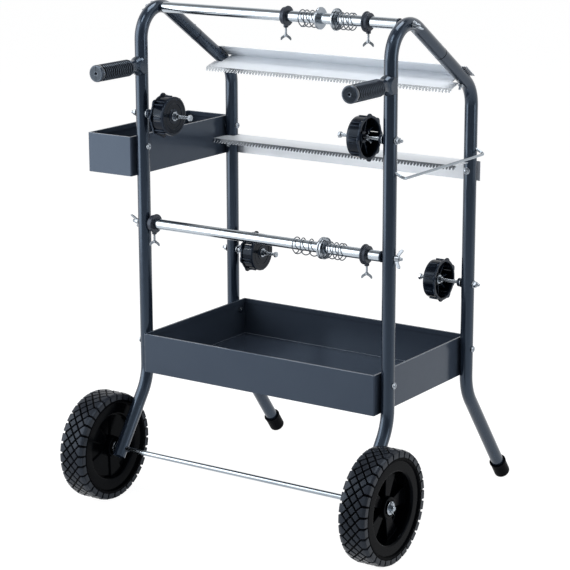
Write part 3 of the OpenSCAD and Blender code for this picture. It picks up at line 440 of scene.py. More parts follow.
def lathe(profile, steps=48, rounding=0.0, closed=False):
    """Turned shape: a profile of (radius, height) points spun round Z."""
    bm = bmesh.new()
    verts = [bm.verts.new((r, 0, z)) for r, z in profile]
    edges = [bm.edges.new(pair) for pair in zip(verts, verts[1:])]
    if closed:
        edges.append(bm.edges.new((verts[-1], verts[0])))
    bmesh.ops.spin(bm, geom=verts + edges, cent=(0, 0, 0), axis=(0, 0, 1), angle=tau, steps=steps,
                   use_merge=True)
    bmesh.ops.remove_doubles(bm, verts=bm.verts, dist=0.0005)
    face_out(bm)
    if rounding:
        soften(bm, rounding)
    return bm


def plate(outline, thickness, rounding=0.0, segments=2):
    """Flat shape: an outline of (x, y) points, thickened upwards, with its rim rounded."""
    bm = bmesh.new()
    face = bm.faces.new([bm.verts.new((x, y, 0)) for x, y in outline])
    top = bmesh.ops.extrude_face_region(bm, geom=[face])["geom"]
    bmesh.ops.translate(bm, vec=(0, 0, thickness), verts=only(bmesh.types.BMVert, top))
    face_out(bm)
    if rounding:
        soften(bm, rounding, segments=segments)
    return bm


def nut_shape(flats, bore_d, height):
    """Hexagon nut with the curved chamfers of its corners on both faces."""
    bm = bmesh.new()
    corner = flats / 2 / cos(radians(30))
    slope = 0.58
    outer = bmesh.ops.create_circle(bm, cap_ends=False, segments=6, radius=corner)["verts"]
    bmesh.ops.subdivide_edges(bm, edges=list(bm.edges), cuts=5)
    outer_edges = list(bm.edges)
    inner = bmesh.ops.create_circle(bm, cap_ends=False, segments=36, radius=bore_d / 2)["verts"]
    inner_edges = [e for e in bm.edges if e.verts[0] in inner]
    flat = bmesh.ops.bridge_loops(bm, edges=outer_edges + inner_edges)["faces"]
    top = bmesh.ops.extrude_face_region(bm, geom=flat)["geom"]
    bmesh.ops.translate(bm, vec=(0, 0, height), verts=only(bmesh.types.BMVert, top))
    for v in bm.verts:
        over = hypot(v.co.x, v.co.y) - flats / 2 * 0.99
        if over > 0:
            v.co.z += -slope * over if v.co.z > height / 2 else slope * over
    face_out(bm)
    return bm


class Rod:
    """Round wire or bar that is drawn out straight or turned round a centre."""

    def __init__(self, radius, start, facing, sides=12):
        self.bm = bmesh.new()
        place = Matrix.Translation(start) @ Vector(facing).to_track_quat("Z", "Y").to_matrix().to_4x4()
        bmesh.ops.create_circle(self.bm, cap_ends=True, segments=sides, radius=radius, matrix=place)
        self.ring = list(self.bm.edges)

    def draw(self, step, taper=1.0):
        made = bmesh.ops.extrude_edge_only(self.bm, edges=self.ring)["geom"]
        verts = set(only(bmesh.types.BMVert, made))
        bmesh.ops.translate(self.bm, vec=step, verts=list(verts))
        if taper != 1.0:
            middle = sum((v.co for v in verts), Vector()) / len(verts)
            bmesh.ops.scale(self.bm, vec=(taper,) * 3, space=Matrix.Translation(-middle), verts=list(verts))
        self.ring = [e for e in only(bmesh.types.BMEdge, made) if set(e.verts) <= verts]
        return self

    def turn(self, centre, axis, degrees, steps, rise=0.0):
        verts = list({v for e in self.ring for v in e.verts})
        made = bmesh.ops.spin(self.bm, geom=verts + self.ring, cent=centre, axis=axis,
                              dvec=Vector(axis) * (rise / steps), angle=radians(degrees),
                              steps=steps, use_merge=False, use_duplicate=False)["geom_last"]
        self.ring = only(bmesh.types.BMEdge, made)
        return self

    def close(self):
        bmesh.ops.edgeloop_fill(self.bm, edges=self.ring)
        face_out(self.bm)
        return self.bm


class Piece:
    """One visible piece: shapes are set into it, then it is dressed and carried by its body.
    Its name starts with the solids' node that it replaces, or with first where that differs."""

    def __init__(self, node, look, slot="zinc", body="frame", first=None):
        self.bm, self.name, self.slot, self.body = bmesh.new(), (first or node) + "_" + look, slot, body
        self.node = node

    def add(self, shape, place):
        mesh = bpy.data.meshes.new("shape")
        shape.to_mesh(mesh)
        mesh.transform(place)
        if place.determinant() < 0:
            mesh.flip_normals()
        self.bm.from_mesh(mesh)
        bpy.data.meshes.remove(mesh)
        return self

    def done(self, keep_sharp=38, material=None, even=True):
        """keep_sharp is the angle past which an edge stays sharp; even shades flat faces evenly."""
        for face in self.bm.faces:
            face.smooth = True
        for edge in self.bm.edges:
            if len(edge.link_faces) == 2:
                edge.smooth = edge.calc_face_angle() < radians(keep_sharp)
        mesh = bpy.data.meshes.new(self.name)
        self.bm.to_mesh(mesh)
        self.bm.free()
        mesh.materials.append(MATS[material or self.slot])
        piece = add_object(self.name, mesh)
        if even:
            piece.modifiers.new("even_shading", "WEIGHTED_NORMAL").keep_sharp = True
        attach(piece, self.body)
        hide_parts(self.node)
        return piece


def moving(node, look, slot="zinc"):
    """A piece that is carried by a body of its own."""
    return Piece(node, look, slot, node)


# ---------------- wheels

# Half the tyre's width, repeats of the tread round it, radius between the blocks
TYRE_HALF, PITCHES, TREAD_BASE = 26.0, 32, 98.4
# Where the shoulder blocks start to bend down over the sidewall
SHOULDER = 20.5
SPOKES = 5


def diamond():
    return plate([(-6.8, 0), (0, -7.7), (6.8, 0), (0, 7.7)], WHEEL_R - TREAD_BASE + 1, 1.0, 3)


def shoulder_block():
    """Block on the tyre's shoulder that bends down over the sidewall."""
    bm = plate([(10.6, 0), (17.8, -7.6), (TYRE_HALF, -7.6), (TYRE_HALF, 7.6), (17.8, 7.6)], 4.2)
    for w in (SHOULDER, 23.0, 24.8):
        bmesh.ops.bisect_plane(bm, geom=bm.verts[:] + bm.edges[:] + bm.faces[:], plane_co=(w, 0, 0),
                               plane_no=(1, 0, 0), dist=0.001)
    for v in bm.verts:
        beyond = max(0.0, v.co.x - SHOULDER)
        bend = 0.095 if v.co.z > 2 else 0.27
        v.co.z -= bend * beyond ** 2
    soften(bm, 0.7, 35)
    return bm


def tread():
    """All the raised blocks round the tyre, axis along Z."""
    upright = Matrix(((0, 0, 1, TREAD_BASE - 1), (0, 1, 0, 0), (1, 0, 0, 0), (0, 0, 0, 1)))
    half_pitch = Matrix.Rotation(pi / PITCHES, 4, "Z")
    blocks = Piece("tread", "blocks")
    block, shoulder = diamond(), shoulder_block()
    for w in (-9, 9):
        blocks.add(block, upright @ Matrix.Translation((w, 0, 0)))
    blocks.add(block, half_pitch @ upright)
    for side in (-1, 1):
        blocks.add(shoulder, half_pitch @ upright @ Matrix.Diagonal((side, 1, 1, 1)))
    bm = blocks.bm
    bmesh.ops.spin(bm, geom=bm.verts[:] + bm.edges[:] + bm.faces[:], cent=(0, 0, 0), axis=(0, 0, 1),
                   angle=tau * (PITCHES - 1) / PITCHES, steps=PITCHES - 1, use_duplicate=True)
    return bm


def tyre_half_section():
    return [(79.5, 17.5), (82.5, 21.5), (84.4, 24.6), (85.0, 25.5), (85.8, 25.7), (86.6, 25.5), (87.2, 25.0),
            (90.0, 25.2), (93.0, 25.0), (95.6, 23.9), (97.4, 21.8), (98.3, 18.5), (TREAD_BASE, 12.0)]


def wheels():
    section = tyre_half_section()
    carcass = lathe(section + [(r, -w) for r, w in reversed(section)], 128, closed=True)
    blocks, barrel, wedge = tread(), rim_body(), spoke()
    for side, sign in SIDES:
        body, middle = "wheel_" + side, (WHEEL_X, AXLE_Y, WHEEL_R)
        # The carcass, in the darker shaded copy of the tyre's rubber: painted shade
        tyre = Piece("tyre_" + side, "carcass", "tyre_rubber", body)
        tyre.add(carcass, outward(sign, *middle, 4)).done(50)
        # The tread blocks, in the lighter lit copy of the tyre's rubber: painted light, with a painted
        # highlight on their edges
        wear_and_highlight = Piece("tyre_" + side, "tread", "tyre_rubber", body)
        wear_and_highlight.add(blocks, outward(sign, *middle, 4)).done(50, "lit_tread_rubber")
        rim = Piece("rim_" + side, "moulded", "rim_plastic", body)
        rim.add(barrel, outward(sign, *middle))
        for i in range(SPOKES):
            rim.add(wedge, outward(sign, *middle, 360 / SPOKES * i + 21))
        rim.done(40)


def rim_body():
    """Barrel with a flange on each edge, thin web and long hub; z runs outwards along the axle."""
    hub_r, bore_r = 19.0, 4.9
    bm = lathe([(bore_r, -25.3), (hub_r - 1, -25.3), (hub_r, -24.3), (hub_r + 1.2, -10), (57.0, -10),
                (59.5, -14), (61.5, -18.5), (64.5, -21), (83, -21), (83.6, -20.2), (82.6, -18.6),
                (78.6, -16.8), (78.6, 16.8), (82.6, 18.6), (84.0, 21.0), (83.4, 22.6), (82.0, 23.0),
                (67.0, 23.0), (65.2, 22.6), (63.6, 20.8), (62.4, 16.5), (60.4, -3.0), (58, -5),
                (hub_r + 1.4, -5), (hub_r + 0.4, 15.2), (hub_r - 0.6, 16.0), (15.0, 16.0), (14.2, 15.2),
                (13.6, 13.6), (bore_r, 13.5)], 112, closed=True)
    soften(bm, 0.6, 40)
    return bm


def spoke():
    """One wedge of the spoked face, widening from the hub to the barrel, front and back."""
    bm = plate([(17.5, -7.2), (38, -11.7), (61.0, -17.2), (62.4, -6), (62.4, 6), (61.0, 17.2), (38, 11.7),
                (17.5, 7.2)], 21)
    bmesh.ops.translate(bm, vec=(0, 0, -13), verts=bm.verts)
    soften(bm, 1.3, 40, 3)
    return bm


# ---------------- springs, cups and collars

# Springs: radius to the wire's middle, the wire's own radius, sag; turns, closed ones at each end, pitch
COIL_R, WIRE_R, SPRING_SAG = 14.5, 1.0, 1.9
TURNS, CLOSED, CLOSE_PITCH = 4.5, 0.75, 2.35

# Each fitting: its bar, the way its spring presses along X, then the collar, the spring's free end and
# the cup from the middle of the cart, and the cup's travel
FITTINGS = {
    "top_left": (TOP_BAR, 1, 14.0, 50.5, 88.8, 24.0),
    "top_right": (TOP_BAR, -1, 192.0, 158.5, 125.0, 19.5),
    "mid_left": (MID_BAR, 1, -245.2, 71.0, 127.0, 34.0),
    "mid_right": (MID_BAR, -1, 223.0, 172.0, 135.0, 22.0),
}


def spring_coil(length):
    """Compression spring along Z, with close coils at both ends."""
    closed = (CLOSED, CLOSED * CLOSE_PITCH)
    opened = (TURNS - 2 * CLOSED, length - 2 * WIRE_R - 2 * CLOSED * CLOSE_PITCH)
    wire = Rod(WIRE_R, (COIL_R, -2 * WIRE_R, WIRE_R), (0, 1, 0), 12)
    wire.draw((0, 2 * WIRE_R, 0))
    for turns, rise in (closed, opened, closed):
        wire.turn((0, 0, 0), (0, 0, 1), 360 * turns, round(32 * turns), rise)
    end = radians(360 * TURNS)
    wire.draw((-2 * WIRE_R * sin(end), 2 * WIRE_R * cos(end), 0))
    return wire.close()


def cup_shape():
    """Pressed cup: flat ring towards the roll, folded rim round the spring's end."""
    return lathe([(9.58, 3.8), (9.58, 2.2), (16.9, 2.2), (17.7, 1.7), (18.0, 0.6), (18.2, 0), (19.3, 0),
                  (19.5, 0.6), (19.5, 2.6), (18.9, 3.5), (17.8, 3.8)], 72, closed=True)


def collar_ring():
    """Clamp collar with a lip at its far end."""
    return lathe([(9.58, 0), (14.6, 0), (15.3, 0.5), (15.5, 1.2), (15.5, 5.8), (15.9, 6.4), (17.2, 7.0),
                  (17.8, 7.6), (17.8, 9.2), (17.2, 10), (12.0, 10), (11.4, 9.3), (9.58, 9.3)], 72, 0.25,
                 closed=True)


def collar_boss():
    """Boss below the collar that holds the thumb screw's thread."""
    return lathe([(2.1, 0), (4.6, 0), (4.3, 7.4), (3.8, 8.2), (2.1, 8.2)], 32, 0.3, closed=True)


def wing(base_r, wing_r, wing_h, thick):
    """One wing: a rounded ear that leans outwards, thinner at its tip."""
    root = [(0.3, 0.6), (0.95, 0.9)]
    tip = [(0.80, 0.38), (0.96, 0.58), (1.0, 0.78), (0.97, 0.93), (0.88, 1.0), (0.76, 0.97), (0.62, 0.82)]
    outline = [(base_r * x, y) for x, y in root] + [(wing_r * x, wing_h * y) for x, y in tip]
    outline += [(base_r * 0.85, wing_h * 0.56), (base_r * 0.3, wing_h * 0.50)]
    bm = plate(outline, thick)
    bmesh.ops.translate(bm, vec=(0, 0, -thick / 2), verts=bm.verts)
    for v in bm.verts:
        v.co.z *= 1.25 - 0.4 * v.co.x / wing_r
    soften(bm, thick * 0.3, 20, 3)
    bmesh.ops.rotate(bm, cent=(0, 0, 0), matrix=Matrix.Rotation(pi / 2, 3, "X"), verts=bm.verts)
    return bm


def add_wing_nut(piece, place, bore_d, base_r, base_h, wing_r, wing_h, thick=2.2):
    bore_r = bore_d / 2
    base = lathe([(bore_r, 0.5), (bore_r + 0.5, 0), (base_r - 0.4, 0), (base_r, 0.5), (base_r, 1.6),
                  (base_r * 0.86, base_h - 0.8), (base_r * 0.8, base_h), (bore_r + 0.5, base_h),
                  (bore_r, base_h - 0.5)], 40, closed=True)
    piece.add(base, place)
    ear = wing(base_r, wing_r, wing_h, thick)
    for half in (0, 180):
        piece.add(ear, turned(place, half))


def bar_fittings():
    for name, (bar, way, collar_x, spring_x, cup_x, travel) in FITTINGS.items():
        along, (y, z) = (0, 90 * way, 0), bar
        length = abs(cup_x - spring_x) + 1.5
        coil = moving("spring_" + name, "wound")
        coil.add(spring_coil(length), seat((spring_x, y, z - SPRING_SAG), along))
        piece = coil.done(70, "spring_steel", False)
        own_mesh(piece)
        cup = moving("cup_" + name, "pressed")
        cup.add(cup_shape(), seat((cup_x, y, z), along)).done(60)
        collar = moving("collar_" + name, "moulded", "hub_plastic")
        collar.add(collar_ring(), seat((collar_x, y, z), along))
        screw_x, down = collar_x + way * 4.5, (180, 0, 0)
        collar.add(collar_boss(), seat((screw_x, y, z - 12), down)).done(40, "collar_plastic")
        screw = moving("thumb_screw_" + name, "winged")
        tip = z - BAR_R - 0.3
        screw.add(threaded(2.0, 24.5, 0.7, 0.22), seat((screw_x, y, tip), down))
        add_wing_nut(screw, seat((screw_x, y, tip - 22), down, -20), 2.0, 3.4, 4.5, 10, 11, 1.5)
        neck = lathe([(0, 0), (1.7, 0), (1.7, 5.2), (1.2, 6), (0, 6)], 24)
        screw.add(neck, seat((screw_x, y, tip - 20), down))
        screw.done()


def threaded(radius, length, pitch, depth, sides=28):
    """Threaded rod up Z: a ridged profile turned round the axis, chamfered at its end."""
    root = radius - depth
    profile = [(0, 0), (root, 0)]
    count = int(length / pitch) - 1
    for i in range(count):
        profile += [(root, pitch * (i + 0.28)), (radius, pitch * (i + 0.58)), (radius, pitch * (i + 0.82))]
    profile += [(root, pitch * (count + 0.1)), (root - depth, length), (0, length)]
    return lathe(profile, sides)


# ---------------- wing nuts on the bars and hub bolts

# How far each bar's wing nuts happen to be turned: left, right
NUT_TURNS = (("top", TOP_BAR, (65, 60)), ("mid", MID_BAR, (-37, -20)))
# Thread's diameter with its play, for the wing nuts on 6 mm threads
WING_BORE = 6.16


def wing_nuts():
    for end, bar, turns in NUT_TURNS:
        for (side, sign), turn in zip(SIDES, turns):
            nut = moving("wing_nut_" + end + "_" + side, "eared")
            add_wing_nut(nut, outward(sign, OUTER_X + 0.4, *bar, turn), WING_BORE, 5.5, 8, 17, 13)
            nut.done()
    for hub, (sign, y, z, face, _) in HUBS.items():
        name = "hub_wing_nut_" + hub
        if name not in NODES:
            continue
        nut = moving(name, "eared")
        if y:
            # Against the post, with its ears towards the hub
            place = turned(outward(sign, INNER_X - 2, y, z) @ Matrix.Rotation(pi, 4, "X"), 15)
        else:
            place = outward(sign, face + HUB_BOSS + 0.3, y, z, 20)
        add_wing_nut(nut, place, WING_BORE, 5.5, 6.5, 11, 12)
        nut.done()


# ---------------- tape hubs

# Length of the hub and of its boss, outside of its round wall, steps of the turned shape
HUB_LEN, HUB_BOSS, HUB_WALL = 26.5, 14.0, 35.3
HUB_STEPS = 160
FINGERS, LOBES = 4, 8
# Flange: where it starts, a lobe's height and half its width in degrees, how far it dips between lobes
FLANGE_R, FLANGE_Z, LOBE, LOBE_HALF, DIP = 37.0, 22.5, 2.9, 11.0, 0.6
# Slots beside a finger: their middle and half their width in degrees, their ends
SLOT_AT, SLOT_HALF, SLOT_LOW, SLOT_HIGH = 7.5, 1.5, 5.5, 21.5

# Each hub: side, distance behind the front posts, height, face and bolt's head from the cart's middle
HUBS = {
    "front_left": (-1, 0, 720, 191.0, 153.0),
    "front_right": (1, 0, 720, 197.0, 161.0),
    "rear_left": (-1, POST_GAP, 414, 193.0, 159.0),
    "rear_right": (1, POST_GAP, 414, 188.0, 161.0),
}


def angle_from(v, middle):
    """Degrees round Z from a middle to a point, between -180 and 180."""
    return (degrees(atan2(v.y, v.x)) - middle + 180) % 360 - 180


def raise_lobes(bm):
    """Pushes the flange out to rounded lobes and draws it in between them."""
    grown = {}
    for v in bm.verts:
        r = v.co.xy.length
        if r > FLANGE_R and v.co.z > FLANGE_Z:
            step = 360 / LOBES
            off = abs((angle_from(v.co, 0) + step / 2) % step - step / 2)
            push = LOBE * cos(pi / 2 * min(1.0, off / LOBE_HALF)) ** 1.2 - DIP * (off > LOBE_HALF)
            grown[v] = 1 + push / r
    for v, grow in grown.items():
        v.co.x, v.co.y = v.co.x * grow, v.co.y * grow


def slot_faces(bm, middle):
    """Faces of the round wall, inside and outside, where a slot goes through it."""
    walls = []
    for f in bm.faces:
        c = f.calc_center_median()
        in_slot = abs(angle_from(c, middle)) < SLOT_HALF and SLOT_LOW < c.z < SLOT_HIGH
        if in_slot and c.xy.length > HUB_WALL - 2.9:
            walls.append(f)
    return walls


def cut_slot(bm, walls):
    """Takes the wall's faces away and closes the slot's four sides."""
    outer = [f for f in walls if f.calc_center_median().xy.length > HUB_WALL - 1.1]
    inner = [f for f in walls if f not in outer]
    rims = []
    for group in (outer, inner):
        rims += [e for f in group for e in f.edges if sum(g in group for g in e.link_faces) == 1]
    bmesh.ops.delete(bm, geom=walls, context="FACES_ONLY")
    loose = [e for e in bm.edges if not e.link_faces]
    bmesh.ops.delete(bm, geom=loose, context="EDGES")
    bmesh.ops.bridge_loops(bm, edges=[e for e in rims if e.is_valid])


def hub_shell():
    """Ringed face, boss, round wall with slots beside four spring fingers, lobed flange."""
    face = [(3.08, 0.3), (3.5, 0), (13.6, 0), (14.2, 0.9), (22.4, 0.9), (23.2, 0.1), (24.0, 0.1), (24.4, 0.5),
            (30.6, 0.5), (31.2, 0), (34.2, 0), (35.0, 0.3)]
    wall = [(HUB_WALL, z) for z in (1.0, 5.5, 13, 21.5, 22.6)]
    flange = [(35.8, 22.9), (37.6, 22.9), (38.2, 23.4), (38.2, 26.0), (37.7, 26.5), (34.2, 26.5),
              (33.4, 25.6)]
    inside = [(33.2, 21.5), (33.2, 13), (33.2, 5.5), (33.2, 4.0), (32.2, 3.0)]
    boss = [(12.2, 3.0), (11.0, 4.0), (10.4, 13.4), (9.8, 14.0), (3.5, 14.0), (3.08, 13.6)]
    bm = lathe(face + wall + flange + inside + boss, HUB_STEPS, closed=True)
    raise_lobes(bm)
    middles = [90 * finger + way * SLOT_AT for finger in range(FINGERS) for way in (-1, 1)]
    for walls in [slot_faces(bm, middle) for middle in middles]:
        cut_slot(bm, walls)
    face_out(bm)
    return bm


def hub_rib(length, width, height):
    """Rounded rib along Z on the hub's wall."""
    half = width / 2
    bm = plate([(-0.6, -half), (height, -half), (height, half), (-0.6, half)], length)
    return soften(bm, min(height, width) * 0.4, 40, 3)


def tape_hubs():
    shell = hub_shell()
    rib, finger = hub_rib(HUB_LEN - 6, 2.2, 2.6), hub_rib(15, 3, 1.9)
    vane = plate([(9.8, -0.9), (33.6, -0.9), (33.6, 0.9), (9.8, 0.9)], HUB_BOSS - 3.5, 0.3)
    for name, (sign, y, z, face, _) in HUBS.items():
        hub = moving("tape_hub_" + name, "moulded", "hub_plastic")
        place = outward(sign, face, y, z, 27 if y else 0)
        hub.add(shell, place)
        for i in range(FINGERS):
            for off in (-3.4, 3.4):
                hub.add(rib, turned(place, 90 * i + 45) @ Matrix.Translation((HUB_WALL - 0.1, off, 3)))
            hub.add(finger, turned(place, 90 * i) @ Matrix.Translation((HUB_WALL, 0, 4)))
        for i in range(LOBES):
            hub.add(vane, up(turned(place, 45 * i + 22.5), 2.5))
        hub.done(32, even=False)


# ---------------- screws, nuts and bolts


def pan_head(radius, height):
    """Domed screw head with a cross recess in its top; the shank side is at 0."""
    dome = [(0.92, 0.72), (0.74, 0.92), (0.62, 0.97), (0.14, 1.0), (0, 1.0)]
    bm = lathe([(0, 0), (radius - 0.3, 0), (radius, 0.4), (radius, height * 0.45)]
               + [(radius * r, height * z) for r, z in dome], 32)
    arms = []
    for f in bm.faces:
        c = f.calc_center_median()
        middle = c.xy.length < radius * 0.14
        off = abs((angle_from(c, 0) + 45) % 90 - 45)
        if c.z > height * 0.9 and c.xy.length < radius * 0.6 and (off < 12 or middle):
            arms.append(f)
    made = bmesh.ops.extrude_face_region(bm, geom=arms)["geom"]
    low = only(bmesh.types.BMVert, made)
    bmesh.ops.translate(bm, vec=(0, 0, -height * 0.5), verts=low)
    bmesh.ops.scale(bm, vec=(0.8, 0.8, 1), verts=low)
    bmesh.ops.delete(bm, geom=[f for f in arms if f.is_valid], context="FACES")
    return bm


def washer_shape(r, hole_r, height):
    return lathe([(hole_r, 0.15), (hole_r + 0.2, 0), (r - 0.35, 0), (r, 0.3), (r, height - 0.3),
                  (r - 0.35, height), (hole_r + 0.2, height), (hole_r, height - 0.15)], 48, closed=True)


def hub_hardware():
    """Long hub bolts with their nuts, washers, sleeves and spacers."""
    bolts = Piece("hub_bolts", "threaded")
    nuts = Piece("hub_nuts", "chamfered")
    spacers = Piece("hub_spacers", "turned", "hub_plastic")
    nut, cap = nut_shape(10, 6.1, 5), nut_shape(10, 2.0, 4.5)
    core = lathe([(0, 0.4), (4.4, 0.4), (4.4, 4.3), (0, 4.3)], 32)
    face_washer, post_washer = washer_shape(8.5, 3.05, 1.6), washer_shape(8.75, 3.05, 1.6)
    sleeve, end_washer = washer_shape(3.75, 3.05, 4.9), washer_shape(7.2, 3.05, 1.2)
    spacer = lathe([(3.1, 0.4), (3.6, 0), (7.2, 0), (8, 0.7), (8, 5.0), (7.4, 5.7), (3.6, 5.7), (3.1, 5.3)],
                   48, closed=True)
    for sign, y, z, face, head in HUBS.values():
        back = face + HUB_BOSS
        shank = threaded(3.0, OUTER_X + 12 - head - 4.2, 1.0, 0.28, 32)
        for shape, x in ((cap, head), (shank, head + 4.2), (core, head)):
            bolts.add(shape, outward(sign, x, y, z))
        places = [(face_washer, face - 1.9), (nut, face - 7), (sleeve, face - 12),
                  (post_washer, INNER_X - 1.7), (end_washer, OUTER_X + 0.1), (nut, OUTER_X + 1.4)]
        if y:
            places += [(face_washer, back + 0.3), (nut, back + 2)]
        for shape, x in places:
            nuts.add(shape, outward(sign, x, y, z))
        if not (y and sign < 0):
            spacers.add(spacer, outward(sign, INNER_X - 7.5, y, z))
    bolts.done()
    nuts.done(30)
    spacers.done()


# ---------------- grips

# Length, radius, number of ribs, depth of a groove, length of the smooth head, its end before the posts
GRIP_LEN, GRIP_R, GRIP_RIBS, GROOVE_DEPTH, GRIP_HEAD, GRIP_END = 95.0, 15.25, 15, 2.5, 11.0, -131.0
GRIP_Z = {"left": 807.0, "right": 813.0}
# Slits in the closed end, by the way they point in degrees
GRIP_SLITS = {"left": (90, 270), "right": (12,)}
# One rib, as (share of its pitch, depth below its top)
RIB = ((0.12, GROOVE_DEPTH), (0.24, 1.1), (0.34, 0.3), (0.48, 0.0), (0.62, 0.3), (0.72, 1.1),
       (0.84, GROOVE_DEPTH))


def grip_body():
    """Ribbed rubber grip: closed end with a small hole, smooth head, ribs, rounded skirt."""
    pitch = (GRIP_LEN - GRIP_HEAD - 4) / GRIP_RIBS
    profile = [(2.3, 8), (2.3, 0.5), (2.8, 0), (4, 0), (6, 0), (10, 0), (12, 0), (GRIP_R - 1.6, 0),
               (GRIP_R - 0.7, 0.3), (GRIP_R - 0.2, 1.2), (GRIP_R, 2.4), (GRIP_R, GRIP_HEAD - 3.2),
               (GRIP_R - 0.4, GRIP_HEAD - 2.5), (GRIP_R - GROOVE_DEPTH, GRIP_HEAD - 1.9)]
    for i in range(GRIP_RIBS):
        profile += [(GRIP_R - deep, GRIP_HEAD + pitch * (i + share)) for share, deep in RIB]
    profile += [(GRIP_R - 1.0, GRIP_LEN - 3.6), (GRIP_R - 1.2, GRIP_LEN - 1.6), (GRIP_R - 2.4, GRIP_LEN),
                (10.1, GRIP_LEN), (10.1, 8)]
    return lathe(profile, 64, closed=True)


def grips():
    slit = plate([(2.2, -0.35), (GRIP_R - 1.6, -0.25), (GRIP_R - 1.6, 0.25), (2.2, 0.35)], 0.12)
    # This sleeve is no part of the grip, but a dark band of painted shade down in the grooves between the
    # ribs
    sleeve = lathe([(GRIP_R - 1.4, GRIP_HEAD), (GRIP_R - 0.7, GRIP_HEAD), (GRIP_R - 0.7, GRIP_LEN - 6),
                    (GRIP_R - 1.4, GRIP_LEN - 6)], 64, closed=True)
    # The dark piece holds the slits in the closed end and the painted shade in the grooves
    dark = Piece("grips", "slits_and_groove_shade", "grip_rubber", first="grip")
    for side, sign in SIDES:
        grip = Piece("grips", "ribbed", "grip_rubber", first="grip_" + side)
        place = seat((sign * POST_X, GRIP_END, GRIP_Z[side]), (-90, 0, 0))
        grip.add(grip_body(), place).done(50, even=False)
        dark.add(sleeve, place)
        for turn in GRIP_SLITS[side]:
            dark.add(slit, up(turned(place, turn), -0.06))
    dark.done(material="tyre_rubber")


# ---------------- cutters

# Number of teeth, half the length of their row and of the cutter, width of the strip with the teeth
TEETH, TOOTH_HALF, CUTTER_HALF, TOOTH_STRIP = 80, 266.0, 277.0, 9.0
# Part of the strip above the teeth
STRIP_ROOT = 2.7
# Gap between a cutter and the tube that it lies on
CUTTER_GAP = 0.1
# Upper flange: how far past the straight of the diagonal it starts, and how much it droops in degrees
UPPER_PAST, UPPER_DROOP = 4, 15
# Lower flange: how much wider than the upper one it is, and how much it rises
LOWER_WIDER, LOWER_RISE = 6, 1


def side_view(x, origin=(0, 0), slope=0.0):
    """Stands a shape drawn as (Y, Z) upright, pointing along +X from x, with a point as its origin."""
    upright = Matrix(((0, 0, 1, 0), (1, 0, 0, 0), (0, 1, 0, 0), (0, 0, 0, 1)))
    return seat((x, *origin)) @ upright @ Matrix.Rotation(radians(slope), 4, "Z")


def rounded_path(points, radius, steps=4):
    """A line through points, with its corners rounded."""
    path = [Vector(points[0])]
    for before, corner, after in zip(points, points[1:], points[2:]):
        corner = Vector(corner)
        a = corner + (Vector(before) - corner).normalized() * radius
        b = corner + (Vector(after) - corner).normalized() * radius
        for i in range(steps + 1):
            t = i / steps
            path.append((1 - t) ** 2 * a + 2 * t * (1 - t) * corner + t * t * b)
    return path + [Vector(points[-1])]


def sheet_outline(path, thickness):
    """Outline of a bent sheet whose middle runs along a path."""
    sides = ([], [])
    for i, point in enumerate(path):
        first, last = max(i, 1), min(i, len(path) - 2)
        before = (path[first] - path[first - 1]).normalized()
        after = (path[last + 1] - path[last]).normalized()
        middle = (before + after).normalized()
        reach = thickness / 2 / max(0.5, middle.dot(before))
        sideways = Vector((-middle.y, middle.x)) * reach
        sides[0].append(point + sideways)
        sides[1].append(point - sideways)
    return sides[0] + sides[1][::-1]


def add_sheet(piece, points, x0, x1):
    """A bent sheet from x0 to x1, through points of its side view."""
    shape = plate(sheet_outline(rounded_path(points, 2.4), BLADE), x1 - x0)
    soften(shape, 0.25, 50)
    piece.add(shape, side_view(x0))


def tooth(width, depth):
    """One cutter tooth: wide root, rounded tip."""
    half = width / 2
    bm = plate([(-half, -0.4), (half, -0.4), (half * 0.92, depth * 0.35), (half * 0.62, depth * 0.86),
                (half * 0.34, depth), (-half * 0.34, depth), (-half * 0.62, depth * 0.86),
                (-half * 0.92, depth * 0.35)], BLADE)
    return soften(bm, 0.3, 50)


def make_cutter(node, plate_top, bend, edge, slope, stub, finish):
    """Bent sheet between the tubes, its narrower ends over the tubes, and the strip of teeth.
    stub is the distance from the bend at which the flange goes on beyond the tube, and slope the
    angle in degrees at which the strip points down."""
    piece = Piece(node, "bent", "blade")
    bend, edge = Vector(bend), Vector(edge)
    forward = (edge - bend).normalized()
    inner = INNER_X - 1
    add_sheet(piece, [plate_top, bend, edge], -inner, inner)
    for x0, x1 in ((-CUTTER_HALF, -inner), (inner, CUTTER_HALF)):
        add_sheet(piece, [plate_top, bend], x0, x1)
    for x0, x1 in ((-TOOTH_HALF, -inner), (inner, TOOTH_HALF)):
        add_sheet(piece, [bend + forward * stub, edge], x0, x1)
    piece.done()
    strip = Matrix.Rotation(radians(180 + slope), 4, "Z")
    half = BLADE / 2
    root = plate([(-0.3, -half), (2.9, -half), (2.9, half), (-0.3, half)], 2 * TOOTH_HALF, 0.2)
    teeth = Piece(node, "teeth", "blade")
    teeth.add(root, side_view(-TOOTH_HALF, edge) @ strip)
    pitch = 2 * TOOTH_HALF / TEETH
    one = tooth(pitch * 0.9, TOOTH_STRIP - STRIP_ROOT)
    lie = Matrix(((0, 1, 0, STRIP_ROOT), (0, 0, 1, -half), (1, 0, 0, 0), (0, 0, 0, 1)))
    for i in range(TEETH):
        teeth.add(one, side_view(-TOOTH_HALF + pitch * (i + 0.5), edge) @ strip @ lie)
    # The given steel is one of two copies of the teeth's steel, lighter and darker: painted light and painted
    # shade
    teeth.done(material=finish)


